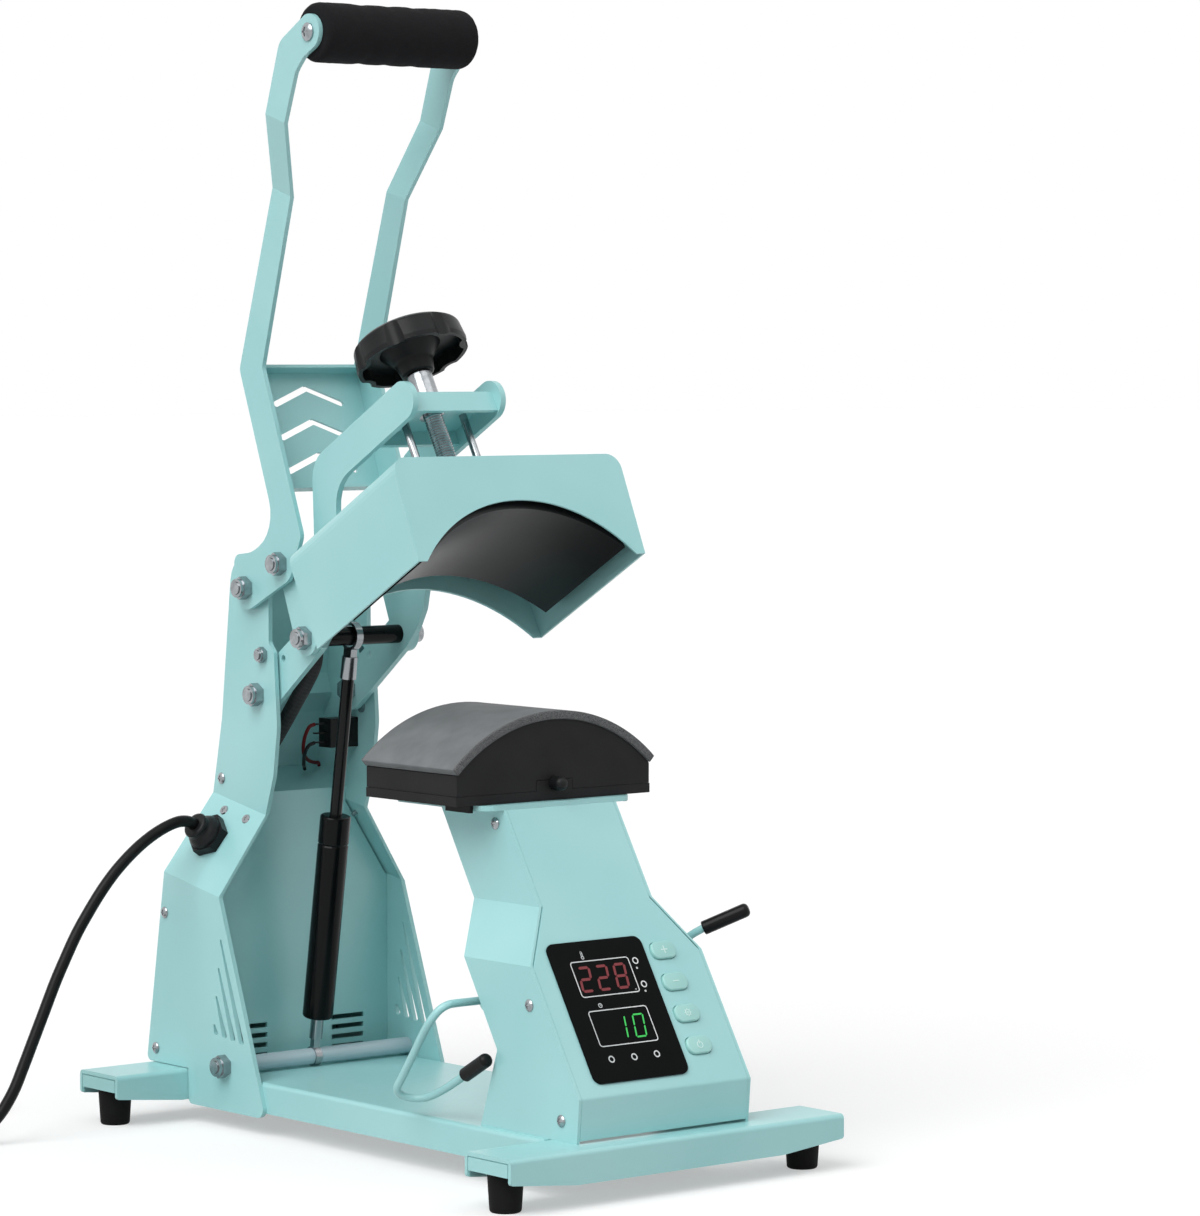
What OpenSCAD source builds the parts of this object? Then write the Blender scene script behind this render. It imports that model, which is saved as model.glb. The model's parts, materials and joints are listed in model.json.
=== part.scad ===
// Cap heat press with a toggle handle, shown open with the head raised.
// The front of the press faces -Y, +X is to the right seen from the front, +Z is up.
// The modules measure Y from the front edge of the front crossbar, and the last lines
// move every part back, so that the origin is on the floor under the middle of the press.

/* [Base] */
// Length of the base from the front edge of one crossbar to the rear edge of the other
base_length = 448; // [430:1:520]
// Length of each crossbar across the press
bar_length = 260; // [250:1:340]
// Depth of each crossbar from front to rear
bar_depth = 43; // [40:1:50]
// Height of the top of the crossbars and the rail above the floor
base_top = 34.5; // [32:0.5:45]
// Height of the crossbar sides in the middle
bar_side = 20; // [18:0.5:26]
// Height of the crossbar sides at the ends
bar_end_side = 15; // [12:0.5:17]
// Height of the folded tab that closes each crossbar end
bar_tab = 11; // [8:0.5:14]
// Thickness of the base steel sheet
base_sheet = 2.5; // [2:0.1:3]
// Width of the rail between the crossbars
rail_width = 144; // [140:1:150]
// Distance of each foot's centre from the end of its crossbar
foot_inset = 14; // [14:0.5:30]
// Diameter of a foot at the top
foot_top_d = 22.5; // [20:0.5:23]
// Diameter of a foot at the floor
foot_floor_d = 19; // [16:0.5:22]

/* [Tower] */
// Thickness of the tower wall sheet
tower_sheet = 3; // [2.5:0.1:3.5]
// Outside width of the narrow upper tower
tower_top_width = 82; // [82:0.5:84]
// Height of the upper fold of the tower walls
tower_fold_high = 206; // [200:1:212]
// Height of the lower fold of the tower walls
tower_fold_low = 154; // [145:1:160]
// Thickness of the rear cover and the compartment panel
panel_sheet = 2; // [1.5:0.1:2.5]
// Height of the pivot that carries the head arms
arm_pivot_z = 278; // [276:0.5:280]
// Distance of the arm pivot from the front of the base
arm_pivot_y = 373; // [371:0.5:375]
// Height of the pivot that carries the handle
handle_pivot_z = 347; // [346:0.5:348]
// Distance of the handle pivot from the front of the base
handle_pivot_y = 377; // [376:0.5:378]
// Diameter of the pivot bolts
bolt_d = 8; // [7:0.5:8]
// Width across the flats of the lock nuts
nut_flats = 13; // [12:0.5:14]

/* [Pedestal] */
// Outside width of the wide lower part of the pedestal
pedestal_width = 134; // [130:1:138]
// Outside width of the narrow upper part of the pedestal
pedestal_neck = 88; // [84:1:96]
// Height of the lower fold of the pedestal sides
pedestal_fold_low = 135; // [128:1:140]
// Height of the upper fold of the pedestal sides
pedestal_fold_high = 167; // [160:1:175]
// Height of the top edge of the pedestal sides
pedestal_top = 222.5; // [222:0.5:223]
// Thickness of the pedestal sheet
pedestal_sheet = 2; // [1.5:0.1:2.5]
// Thickness of the plate on top of the pedestal
top_plate_t = 3.2; // [2.5:0.1:3.3]
// Width of the plate on top of the pedestal
top_plate_width = 118; // [112:1:124]

/* [Control panel] */
// Width of the black display window
window_w = 73.5; // [66:0.5:76]
// Height of the black display window along the slope
window_h = 91.5; // [80:0.5:92]
// Thickness of the display window
window_t = 1.2; // [0.8:0.1:1.6]
// Width of a button cap
button_w = 18.4; // [12:0.1:19]
// Height of a button cap along the slope
button_h = 11.3; // [8:0.1:12]
// Distance between the button rows along the slope
button_pitch = 21.15; // [18:0.05:22]
// Height that a button cap stands proud of the panel
button_proud = 2; // [1.5:0.1:3]

/* [Lower platen] */
// Width of the lower platen
platen_width = 152; // [146:1:156]
// Depth of the lower platen from front to rear
platen_depth = 90; // [84:1:94]
// Distance of the lower platen's front face from the front of the base
platen_front = 120; // [118:0.5:122]
// Thickness of the tray under the lower platen
tray_t = 6; // [5:0.5:7]
// Height of the core's crown above the tray
core_rise = 43.2; // [42:0.1:44]
// Radius of the crown of the core
core_r = 108; // [104:1:112]
// Thickness of the silicone pad
pad_t = 5.4; // [4:0.1:5.6]
// Distance that the pad overhangs the core at the front and the rear
pad_overhang = 1.5; // [1:0.5:3]

/* [Press head] */
// Angle by which the head stands open in the photographed position
raise_angle = 29.3; // [29:0.1:29.4]
// Outside width of the head cover
cover_width = 178; // [170:1:184]
// Height of the cover from its lower edge to its top
cover_height = 67; // [64:1:70]
// Depth of the cover along its lower edge
cover_depth = 118; // [110:1:120]
// Thickness of the cover sheet
cover_sheet = 1.5; // [1:0.1:2]
// Radius of the arch cut in the front and the rear of the cover
arch_r = 108; // [104:1:112]
// Half width of that arch at the lower edge
arch_half = 82; // [80:1:84]
// Width of the heated platen
heater_width = 152; // [146:1:156]
// Depth of the heated platen
heater_depth = 90; // [84:1:94]
// Height of the heated platen from its lower edges to its flat top
heater_height = 40; // [38:0.5:42]
// Clearance between the pad and the heated platen when the press is closed
closed_gap = 0.8; // [0.6:0.1:1.5]

/* [Arms and links] */
// Thickness of the head arms
arm_t = 4; // [3:0.1:4]
// Depth of the arm bars seen from the side
arm_bar = 24.5; // [22:0.5:26]
// Thickness of the toggle links
link_t = 4; // [3:0.1:4]
// Radius of the ends of the toggle links
link_end_r = 11.5; // [11:0.25:11.5]
// Thickness of the handle arms
handle_t = 3; // [2.5:0.1:4]
// Sideways offset of the upper handle arms
handle_jog = 16; // [12:1:20]
// Diameter of the tube between the head arms
cross_tube_d = 12; // [11:0.5:14]
// Diameter of the foam grip
grip_d = 38.5; // [32:0.5:40]
// Height of the grip's centre
grip_z = 698; // [690:1:710]

/* [Pressure screw] */
// Diameter of the pressure screw
screw_d = 12; // [10:1:14]
// Thread pitch of the pressure screw
screw_pitch = 1.75; // [1.5:0.25:2]
// Diameter of the star knob over its lobes
knob_d = 73; // [66:1:76]
// Height of the star knob's rim
knob_rim = 18; // [14:0.5:22]
// Number of lobes on the star knob
knob_lobes = 7; // [5:1:9]
// Diameter of the two guide rods
guide_d = 5; // [4:0.5:6]
// Distance of each guide rod from the screw
guide_offset = 24; // [20:0.5:27]
// Diameter of the threaded bush that carries the screw
bush_d = 16.5; // [15:0.5:19]

/* [Gas spring] */
// Diameter of the gas spring cylinder
gas_d = 20; // [16:0.5:22]
// Length of the gas spring cylinder
gas_length = 135; // [120:1:145]
// Diameter of the gas spring's piston rod
gas_rod_d = 8; // [6:0.5:9]
// Diameter of the sleeve on the lower spring shaft
sleeve_d = 10.5; // [10:0.5:11]

/* [Power cord] */
// Diameter of the power cord
cord_d = 7.6; // [6:0.2:8]

/* [Cap hold wire] */
// Diameter of the bent wire that tensions the cap
wire_d = 5; // [4:0.25:5.5]

/* [Fits] */
// Radial clearance of running fits, such as an arm on its bolt
run_fit = 0.06; // [0.04:0.01:0.1]
// Play of the gas spring's upper eye around the cross tube
eye_play = 1.3; // [0.8:0.1:2]
// Play across the slot at the upper end of each toggle link
slot_play = 1.2; // [0.8:0.1:1.6]
// Length of that slot beyond the pin
slot_length = 6.3; // [5:0.1:8]
// Clearance between parts that are assembled side by side
side_gap = 0.3; // [0.2:0.05:0.4]

/* [Hidden] */

$fn = 48;
mint = [0.69, 0.84, 0.83];
mint_dark = [0.44, 0.69, 0.69];
near_black = [0.12, 0.12, 0.13];
dark_grey = [0.25, 0.25, 0.26];
zinc = [0.78, 0.8, 0.82];
grey_blue = [0.62, 0.74, 0.78];

tower_half = tower_top_width / 2;
tower_low_half = rail_width / 2 + tower_sheet;
pedestal_half = pedestal_width / 2;
neck_half = pedestal_neck / 2;
rear_bar_y = base_length - bar_depth;

// pivots as [y, z] in the photographed, open position
arm_pivot = [arm_pivot_y, arm_pivot_z];
handle_pivot = [handle_pivot_y, handle_pivot_z];
link_pin = [339.1, 363.8];
tube_axis_closed = [308.1, 286.3];
spring_shaft_at = [363, 41];
stop_at = [367, 304];
tube_axis = arm_pivot + turned(tube_axis_closed - arm_pivot, -raise_angle);

// distance from the front edge of the press to its middle
middle_y = (base_length + 4) / 2;

// layers from the centre line outwards, each with its clearance
arm_out = tower_half - tower_sheet - 1.5;
arm_in = arm_out - arm_t;
link_in = arm_out + 0.5;
link_out = link_in + link_t;
handle_in = tower_half + 3;
handle_out = handle_in + handle_t;
nut_t = 8;
head_t = 5;

// places of the screws through the side walls
screw_shank = 3;
pedestal_screws = [[neck_half, 122.5, 214], [pedestal_half, 61.2, 112], [pedestal_half, 31.2, 46.7]];
tower_screws = [[tower_half, 414, 221], [tower_low_half, 430.5, 134], [tower_low_half, 441.5, 44]];
facet_screws = [[45.5, 405, 201], [45.2, 381, 197]];
inner_screw = [366.8, 266.5];

// the sloped front of the pedestal
slope_foot = [14.7, 61];
slope_head = [114.2, pedestal_top];
slope_angle = atan2(slope_head.x - slope_foot.x, slope_head.y - slope_foot.y);

// the folds of the tower walls slope down towards the front
fold_tilt = 10.5;
fold_y = 395;
fold_low = tower_fold_low * cos(fold_tilt);
fold_high = tower_fold_high * cos(fold_tilt);

// heights of the stack on the pedestal
tray_z = pedestal_top + top_plate_t + side_gap;
core_z = tray_z + tray_t;
crown_z = core_z + core_rise;
pad_crown_z = crown_z + pad_t;
pad_r = core_r + pad_t;

// the head in its working position, with its screw upright
head_y = 169.5;
heater_arc_r = pad_r + closed_gap;
heater_crown_z = pad_crown_z + closed_gap;
heater_edge_drop = heater_arc_r - sqrt(heater_arc_r * heater_arc_r - heater_width * heater_width / 4);
heater_low_z = heater_crown_z - heater_edge_drop;
heater_top_z = heater_low_z + heater_height;
cover_low_z = heater_low_z - 5.5;
cover_top_z = cover_low_z + cover_height;
cover_front = 122.7;
arm_top_z = 384;
arm_low_z = arm_top_z - arm_bar;
bar_front_y = 146;
bar_top_z = 375.3;
bar_flange_low = 362;
bar_plate_t = 4;
knob_low_z = 411;
knob_hub = 10.5;
bush_high = knob_low_z - knob_hub - 0.4;

function turned(p, a) = [p.x * cos(a) - p.y * sin(a), p.x * sin(a) + p.y * cos(a)];
function unit(v) = v / norm(v);
function wrapped(a) = a > 180 ? a - 360 : (a < -180 ? a + 360 : a);

// a corner at b between a and c, rounded with radius r into a short arc
function corner_arc(a, b, c, r) =
    r <= 0 ? [b] :
    let (u = unit(a - b), v = unit(c - b))
    let (half = acos(u * v) / 2)
    let (m = b + unit(u + v) * r / sin(half))
    let (p = b + u * r / tan(half), q = b + v * r / tan(half))
    let (a0 = atan2(p.y - m.y, p.x - m.x), a1 = atan2(q.y - m.y, q.x - m.x))
    let (sweep = wrapped(a1 - a0), steps = max(2, ceil(abs(sweep) / 16)))
    [for (i = [0 : steps]) m + r * [cos(a0 + sweep * i / steps), sin(a0 + sweep * i / steps)]];

// an outline of [x, y, corner radius] points
function rounded(points) =
    let (n = len(points))
    [for (i = [0 : n - 1])
        let (a = points[(i + n - 1) % n], b = points[i], c = points[(i + 1) % n])
        each corner_arc([a.x, a.y], [b.x, b.y], [c.x, c.y], len(b) > 2 ? b[2] : 0)];

module centred() {
    translate([0, -middle_y, 0]) children();
}

// extrudes a [y, z] shape along X
module along_x(x0, x1) {
    translate([x0, 0, 0]) rotate([90, 0, 90]) linear_extrude(x1 - x0) children();
}

// extrudes an [x, z] shape along Y
module along_y(y0, y1) {
    translate([0, y1, 0]) rotate([90, 0, 0]) linear_extrude(y1 - y0) children();
}

module rod_x(x0, x1, at, d) {
    translate([x0, at.x, at.y]) rotate([0, 90, 0]) cylinder(h = x1 - x0, d = d);
}

module hex_x(x0, x1, at, flats) {
    translate([x0, at.x, at.y]) rotate([0, 90, 0]) cylinder(h = x1 - x0, d = flats / cos(30), $fn = 6);
}

// carries the arm group from its working position to the open one
module raised() {
    translate([0, arm_pivot.x, arm_pivot.y]) rotate([-raise_angle, 0, 0])
        translate([0, -arm_pivot.x, -arm_pivot.y]) children();
}

// puts a shape drawn flat on the sloped front: x across, y up the slope, z out of the face
module on_slope() {
    translate([0, slope_foot.x, slope_foot.y]) rotate([90 - slope_angle, 0, 0]) children();
}

module both_sides() {
    children();
    mirror([1, 0, 0]) children();
}

// a lock nut with its rounded collar, seated at x0 and reaching outwards
module lock_nut(x0, at, flats, bore, height = nut_t) {
    difference() {
        union() {
            hex_x(x0, x0 + height * 0.72, at, flats);
            rod_x(x0 + height * 0.72, x0 + height, at, flats * 0.93);
        }
        rod_x(x0 - 1, x0 + height + 1, at, bore);
    }
}

module washer(x0, x1, at, bore, outer) {
    difference() {
        rod_x(x0, x1, at, outer);
        rod_x(x0 - 1, x1 + 1, at, bore);
    }
}

// a bolt with its head inside, a washer and a lock nut outside
module side_bolt(head_x, seat_x, at, d = bolt_d, flats = nut_flats) {
    hex_x(head_x, head_x + head_t, at, flats);
    rod_x(head_x + head_t, seat_x + nut_t + 0.8, at, d);
    lock_nut(seat_x + 0.1, at, flats, d + 0.3);
}

// a sheet wall for the +X side that is bent twice on its way up
module bent_wall(low_x, high_x, low_z, high_z, sheet) {
    lean = atan2(high_x - low_x, high_z - low_z);
    shift = sheet * tan(lean / 2);
    along_y(-600, 600) polygon([
        [low_x, -600], [low_x, low_z], [high_x, high_z], [high_x, 600],
        [high_x - sheet, 600], [high_x - sheet, high_z - shift],
        [low_x - sheet, low_z - shift], [low_x - sheet, -600]]);
}

// the side of a crossbar seen from the front, with its rising lower edge
function bar_side_outline() =
    let (half = bar_length / 2, low = base_top - bar_side, end_low = base_top - bar_end_side)
    [[-half, base_top], [-half, end_low, 2], [-half + 50, low, 12], [half - 50, low, 12],
     [half, end_low, 2], [half, base_top]];

module crossbar(y0) {
    seam = 0.6;
    color(mint) difference() {
        intersection() {
            along_y(y0, y0 + bar_depth) polygon(rounded(bar_side_outline()));
            along_x(-bar_length, bar_length) polygon(rounded([
                [y0, 0], [y0, base_top, 3], [y0 + bar_depth, base_top, 3], [y0 + bar_depth, 0]]));
        }
        translate([-bar_length / 2 + base_sheet, y0 + base_sheet, 0])
            cube([bar_length - 2 * base_sheet, bar_depth - 2 * base_sheet, base_top - base_sheet]);
        // the folded end tabs are shorter than the sides
        for (side = [-1, 1])
            translate([side * bar_length / 2 - 5, y0 + base_sheet + 0.4, 0])
                cube([10, bar_depth - 2 * base_sheet - 0.8, base_top - bar_tab]);
        // a fine groove where each tab meets the sides and the top
        for (side = [-1, 1], y = [y0 + base_sheet, y0 + bar_depth - base_sheet - seam])
            translate([side * bar_length / 2 - 1, y, 0]) cube([2, seam, base_top - base_sheet]);
        for (side = [-1, 1])
            translate([side * bar_length / 2 - 1, y0 + base_sheet, base_top - base_sheet - seam])
                cube([2, bar_depth - 2 * base_sheet, seam]);
    }
}

module front_crossbar() {
    crossbar(0);
}

module rear_crossbar() {
    crossbar(rear_bar_y);
}

module base_rail() {
    half = rail_width / 2;
    low = base_top - bar_side + 0.5;
    color(mint) difference() {
        along_y(bar_depth, rear_bar_y) polygon(rounded([
            [-half, low], [-half, base_top, 3], [half, base_top, 3], [half, low],
            [half - base_sheet, low], [half - base_sheet, base_top - base_sheet],
            [-half + base_sheet, base_top - base_sheet], [-half + base_sheet, low]]));
        // round-ended slot under the pedestal for its cable
        for (y = [75, 100]) translate([0, y, 0]) cylinder(h = 100, d = 14);
        translate([-7, 75, 0]) cube([14, 25, 100]);
        rod_x(-half - 1, half + 1, [spring_shaft_at.x, 24], 5);
    }
}

module rubber_feet() {
    top_z = base_top - base_sheet;
    color(near_black)
        for (side = [-1, 1], y = [bar_depth / 2 + 1, base_length - bar_depth / 2 + 2])
            translate([side * (bar_length / 2 - foot_inset), y, 0])
                cylinder(h = top_z, d1 = foot_floor_d, d2 = foot_top_d);
}

// the tower wall seen from the side
function tower_outline() = [
    [rear_bar_y - 0.4, 12, 4], [rear_bar_y - 0.4, base_top + 0.4], [452, base_top + 0.4, 4],
    [432, 156, 6], [423.5, 212, 8], [413.5, 260, 30], [404, 345, 8],
    [401, 366, 16], [361, 366, 16], [361, 312, 4], [355.5, 306, 4],
    [352, 258, 25], [356.5, 226, 20], [365, 201, 6], [369.5, 149, 6], [319, 12, 6]];

module tower_wall() {
    difference() {
        intersection() {
            along_x(0, 100) polygon(rounded(tower_outline()));
            translate([0, fold_y, 0]) rotate([fold_tilt, 0, 0])
                bent_wall(tower_low_half, tower_half, fold_low, fold_high, tower_sheet);
        }
        for (at = [arm_pivot, handle_pivot])
            rod_x(0, 100, at, bolt_d + 0.1);
        rod_x(0, 100, stop_at, 6.1);
        rod_x(0, 100, spring_shaft_at, bolt_d + 0.1);
        for (screw = tower_screws)
            rod_x(0, 100, [screw.y, screw.z], screw_shank + 0.4);
        for (at = facet_screws)
            facet_place(at) translate([0, 0, -8]) cylinder(h = 16, d = screw_shank + 0.4);
        // slanted cooling slots that get longer towards the front
        for (i = [0 : 3])
            let (y = 341.8 + 9.3 * i, low = 57 + i, top = 122 - 18.5 * i, shift = (top - low) * 0.35)
                along_x(50, 100) polygon(rounded([
                    [y, low, 1.5], [y + 5.8, low, 1.5], [y + 4.2 + shift, top], [y + 2.2 + shift, top]]));
    }
}

module tower_left_wall() {
    color(mint) mirror([1, 0, 0]) difference() {
        tower_wall();
        gland_place() translate([0, 0, -20]) cylinder(h = 40, d = gland_thread_d + 0.6);
    }
}

module tower_right_wall() {
    color(mint) difference() {
        tower_wall();
        along_x(0, 100) translate([switch_at.x - 6.8, switch_at.y - 9.8]) square([13.6, 19.6]);
        rod_x(0, 100, inner_screw, screw_shank + 0.4);
    }
}

// a sheet that follows a [y, z] line on its way up, cut to fit between the tower walls
module between_walls(line, low_z, top_z) {
    inner_gap = side_gap / 2;
    low_in = tower_low_half - tower_sheet - inner_gap;
    top_in = tower_half - tower_sheet - inner_gap;
    shift = (tower_sheet + inner_gap) * tan(atan2(low_in - top_in, fold_high - fold_low) / 2);
    intersection() {
        along_x(-100, 100) polygon(line);
        translate([0, fold_y, 0]) rotate([fold_tilt, 0, 0]) along_y(-200, 200) polygon([
            [-low_in, -600], [-low_in, fold_low - shift], [-top_in, fold_high - shift], [-top_in, 600],
            [top_in, 600], [top_in, fold_high - shift], [low_in, fold_low - shift], [low_in, -600]]);
        translate([-100, 300, low_z]) cube([200, 200, top_z - low_z]);
    }
}

module compartment_panel() {
    t = panel_sheet;
    z0 = base_top + side_gap / 2;
    front = 385;
    color(mint_dark) difference() {
        between_walls([[front, z0], [front, 213], [415, 226], [415, 226 - t], [front + t, 213 - t],
                       [front + t, z0 + t], [front + 11, z0 + t], [front + 11, z0]], z0 - 1, 230);
        for (side = [-1, 1], row = [0 : 3])
            translate([side * 39, front, 41.5 + 6.5 * row]) cube([26, 12, 3.2], center = true);
        // room for the nut of the cable gland
        mirror([1, 0, 0]) gland_place() translate([0, 0, -20]) cylinder(h = 20, d = 31);
    }
}

module rear_cover() {
    t = panel_sheet;
    z0 = base_top + side_gap / 2;
    top = 350;
    color(mint) difference() {
        between_walls([[449, z0], [430, 156], [420.5, 211], [410, 262], [402, 274], [406.5, 287],
                       [401.5, top], [391, top], [391, top - t], [401.5 - t, top - t], [406.5 - t, 287.5],
                       [402 - t, 274.5], [410 - t, 261.5], [420.5 - t, 211], [430 - t, 156], [449 - t, z0]],
                      z0, top + 1);
        // cooling slots low in the cover
        for (side = [-1, 1], row = [0 : 3])
            translate([side * 30, 440, 70 + 9 * row]) cube([32, 40, 3.5], center = true);
    }
}

module power_board() {
    color([0.1, 0.35, 0.2]) translate([-45, 399, 60]) cube([80, 1.6, 68]);
    color(near_black) {
        translate([-32, 400.6, 70]) cube([22, 11, 24]);
        translate([2, 400.6, 74]) cube([18, 9, 16]);
        translate([-20, 400.6, 104]) cube([34, 8, 12]);
    }
    color(zinc) for (x = [-38, 28], z = [68, 120])
        translate([x, 398.9, z]) rotate([90, 0, 0]) cylinder(h = 11.8, d = 5);
}

module spring_shaft() {
    out = tower_low_half;
    color(zinc) {
        rod_x(-out - nut_t - 0.8, out + nut_t + 0.8, spring_shaft_at, bolt_d);
        both_sides() lock_nut(out + 0.1, spring_shaft_at, nut_flats, bolt_d + 0.3);
    }
}

module spring_shaft_sleeve() {
    inner = tower_low_half - tower_sheet - side_gap;
    color(grey_blue) difference() {
        rod_x(-inner, inner, spring_shaft_at, sleeve_d);
        rod_x(-inner - 1, inner + 1, spring_shaft_at, bolt_d + 0.2);
    }
}

module tower_pivot_bolts() {
    color(zinc) both_sides() {
        side_bolt(arm_in - 0.3 - head_t, tower_half, arm_pivot);
        washer(arm_out + 0.2, tower_half - tower_sheet - 0.2, arm_pivot, bolt_d + 0.3, 16);
        side_bolt(tower_half - tower_sheet - 0.1 - head_t, handle_out + 0.2, handle_pivot);
        washer(tower_half + 0.15, handle_in - 0.15, handle_pivot, bolt_d + 0.3, 18);
    }
}

module stop_bolts() {
    color(zinc) both_sides() {
        rod_x(tower_half - tower_sheet, tower_half + 5.6, stop_at, 6);
        lock_nut(tower_half + 0.1, stop_at, 9, 6.3, 4.6);
    }
}

// the pedestal side seen from the side
function pedestal_outline() = [
    [17, base_top], [slope_foot.x, slope_foot.y, 3], [slope_head.x, pedestal_top],
    [177, pedestal_top], [92, 82, 3], [108, base_top]];

module pedestal_side() {
    difference() {
        intersection() {
            along_x(0, 100) polygon(rounded(pedestal_outline()));
            bent_wall(pedestal_half, neck_half, pedestal_fold_low, pedestal_fold_high, pedestal_sheet);
        }
        for (screw = pedestal_screws)
            rod_x(screw.x - 20, screw.x + 20, [screw.y, screw.z], screw_shank + 0.4);
    }
}

module pedestal_left_side() {
    color(mint) mirror([1, 0, 0]) pedestal_side();
}

module pedestal_right_side() {
    color(mint) pedestal_side();
}

module pedestal_front_panel() {
    t = pedestal_sheet;
    gap = 0.2;
    lean = slope_angle;
    low_in = pedestal_half - pedestal_sheet - gap;
    top_in = neck_half - pedestal_sheet - gap;
    z0 = base_top + 1.8;
    bend = atan2(low_in - top_in, pedestal_fold_high - pedestal_fold_low);
    side_low = pedestal_fold_low - (pedestal_sheet + gap) * tan(bend / 2);
    side_high = pedestal_fold_high - (pedestal_sheet + gap) * tan(bend / 2);
    // the inner face is parallel to the outer face, one sheet further in
    inner_foot = [slope_foot.x + t, slope_foot.y - t * tan(lean / 2)];
    inner_head = [slope_head.x + t / cos(lean), pedestal_top];
    color(mint) difference() {
        intersection() {
            along_x(-100, 100) polygon(concat(
                rounded([[16.5, z0], [slope_foot.x, slope_foot.y, 3], [slope_head.x, pedestal_top]]),
                rounded([inner_head, [inner_foot.x, inner_foot.y, 1.5], [16.5 + t, z0]])));
            along_y(0, 200) polygon([
                [-low_in, 0], [-low_in, side_low], [-top_in, side_high], [-top_in, 400],
                [top_in, 400], [top_in, side_high], [low_in, side_low], [low_in, 0]]);
        }
        // opening behind the window and a hole for each button
        on_slope() translate([window_x - window_w / 2 + 6, window_y - window_h / 2 + 8, -10])
            cube([window_w - 12, window_h - 16, 20]);
        for (i = [0 : 3]) button_place(i)
            translate([0, 0, -10]) linear_extrude(20) button_shape(0.35);
    }
    // folded flanges that take the side screws
    color(mint) both_sides() {
        for (screw = [pedestal_screws[1], pedestal_screws[2]])
            difference() {
                translate([low_in - 1.6, screw.y - 9, screw.z - 7]) cube([1.6, 16, 12]);
                rod_x(0, 100, [screw.y, screw.z], screw_shank + 0.1);
            }
    }
}

module pedestal_top_plate() {
    half = top_plate_width / 2;
    color(mint) translate([0, 0, pedestal_top]) difference() {
        linear_extrude(top_plate_t) polygon(rounded([
            [-half, slope_head.x, 10], [half, slope_head.x, 10], [half, 204, 6], [-half, 204, 6]]));
        translate([0, 150, -1]) cylinder(h = 10, d = 12);
        for (x = [-30, 30], y = [140, 170])
            translate([x, y, -1]) cylinder(h = 10, d = 4.2);
    }
}

// centre of the window and of the button column on the slope
window_x = -15;
window_y = 53.7;
button_x = 36.2;
button_low_y = 24.9;

module display_window() {
    color(near_black) on_slope() translate([window_x, window_y, 0.05])
        linear_extrude(window_t) polygon(rounded([
            [-window_w / 2, -window_h / 2, 5.5], [window_w / 2, -window_h / 2, 5.5],
            [window_w / 2, window_h / 2, 5.5], [-window_w / 2, window_h / 2, 5.5]]));
}

module control_board() {
    color([0.1, 0.35, 0.2]) on_slope() translate([-50, 8, -11]) cube([100, 94, 1.6]);
    color(near_black) on_slope() {
        translate([-38, 28, -9.4]) cube([50, 62, 6]);
        for (i = [0 : 3])
            translate([button_x - 3, button_low_y + button_pitch * i - 3, -9.4]) cube([6, 6, 3.4]);
    }
    color(zinc) on_slope() for (x = [-46, 46], y = [12, 98])
        translate([x, y, -9.4]) cylinder(h = 9.4 - pedestal_sheet - 0.1, d = 4);
}

module button_shape(grow) {
    w = button_w + 2 * grow;
    h = button_h + 2 * grow;
    polygon(rounded([[-w / 2, -h / 2, 4.8], [w / 2, -h / 2, 4.8], [w / 2, h / 2, 4.8], [-w / 2, h / 2,
        4.8]]));
}

module button_place(i) {
    on_slope() translate([button_x, button_low_y + button_pitch * i, 0]) children();
}

// a button cap with a retaining flange behind the panel
module button_cap(i) {
    color(mint_dark) button_place(i) {
        translate([0, 0, -3.6]) linear_extrude(3.6 + button_proud) button_shape(0);
        translate([0, 0, -3.6]) linear_extrude(1) button_shape(1.2);
        translate([0, 0, -4.6]) cylinder(h = 1.1, d = 4);
    }
}

module plus_button() {
    button_cap(3);
}

module minus_button() {
    button_cap(2);
}

module set_button() {
    button_cap(1);
}

module power_button() {
    button_cap(0);
}

switch_at = [378, 250];

rocker_pin = 11.6;

module switch_housing() {
    wall = tower_half;
    color(near_black) difference() {
        union() {
            translate([wall - tower_sheet - 22, switch_at.x - 6.5, switch_at.y - 9.5])
                cube([22 + tower_sheet, 13, 19]);
            translate([wall + 0.1, switch_at.x - 7.5, switch_at.y - 10.5]) cube([2, 15, 21]);
        }
        translate([wall - 7, switch_at.x - 5, switch_at.y - 8]) cube([20, 10, 16]);
        translate([wall - 1.5, switch_at.x, switch_at.y]) rotate([90, 0, 0])
            cylinder(h = rocker_pin + 0.4, d = 2.1, center = true);
    }
    color(zinc) for (z = [-6, 0, 6])
        translate([wall - tower_sheet - 29.9, switch_at.x - 2.4, switch_at.y + z - 0.4]) cube([8, 4.8, 0.8]);
}

module switch_rocker() {
    wall = tower_half;
    // the rocker turns on a pin along Y in the middle of its well
    color([0.75, 0.1, 0.1]) translate([wall - 1.5, switch_at.x, switch_at.y]) rotate([0, -6, 0]) {
        difference() {
            translate([-2.6, -4.7, -7.2]) cube([7.2, 9.4, 14.4]);
            translate([11.5, 0, 0]) rotate([90, 0, 0]) cylinder(h = 20, r = 8.6, center = true);
        }
        rotate([90, 0, 0]) cylinder(h = rocker_pin, d = 2, center = true);
    }
}

// a tube through hand-set points, as one closed skin
function ring(c, u, v, r, n) = [for (k = [0 : n - 1]) c + r * (cos(360 * k / n) * u + sin(360 * k / n) * v)];

function path_dir(pts, i) =
    i == 0 ? unit(pts[1] - pts[0]) :
    i == len(pts) - 1 ? unit(pts[i] - pts[i - 1]) : unit(unit(pts[i + 1] - pts[i])
        + unit(pts[i] - pts[i - 1]));

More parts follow.
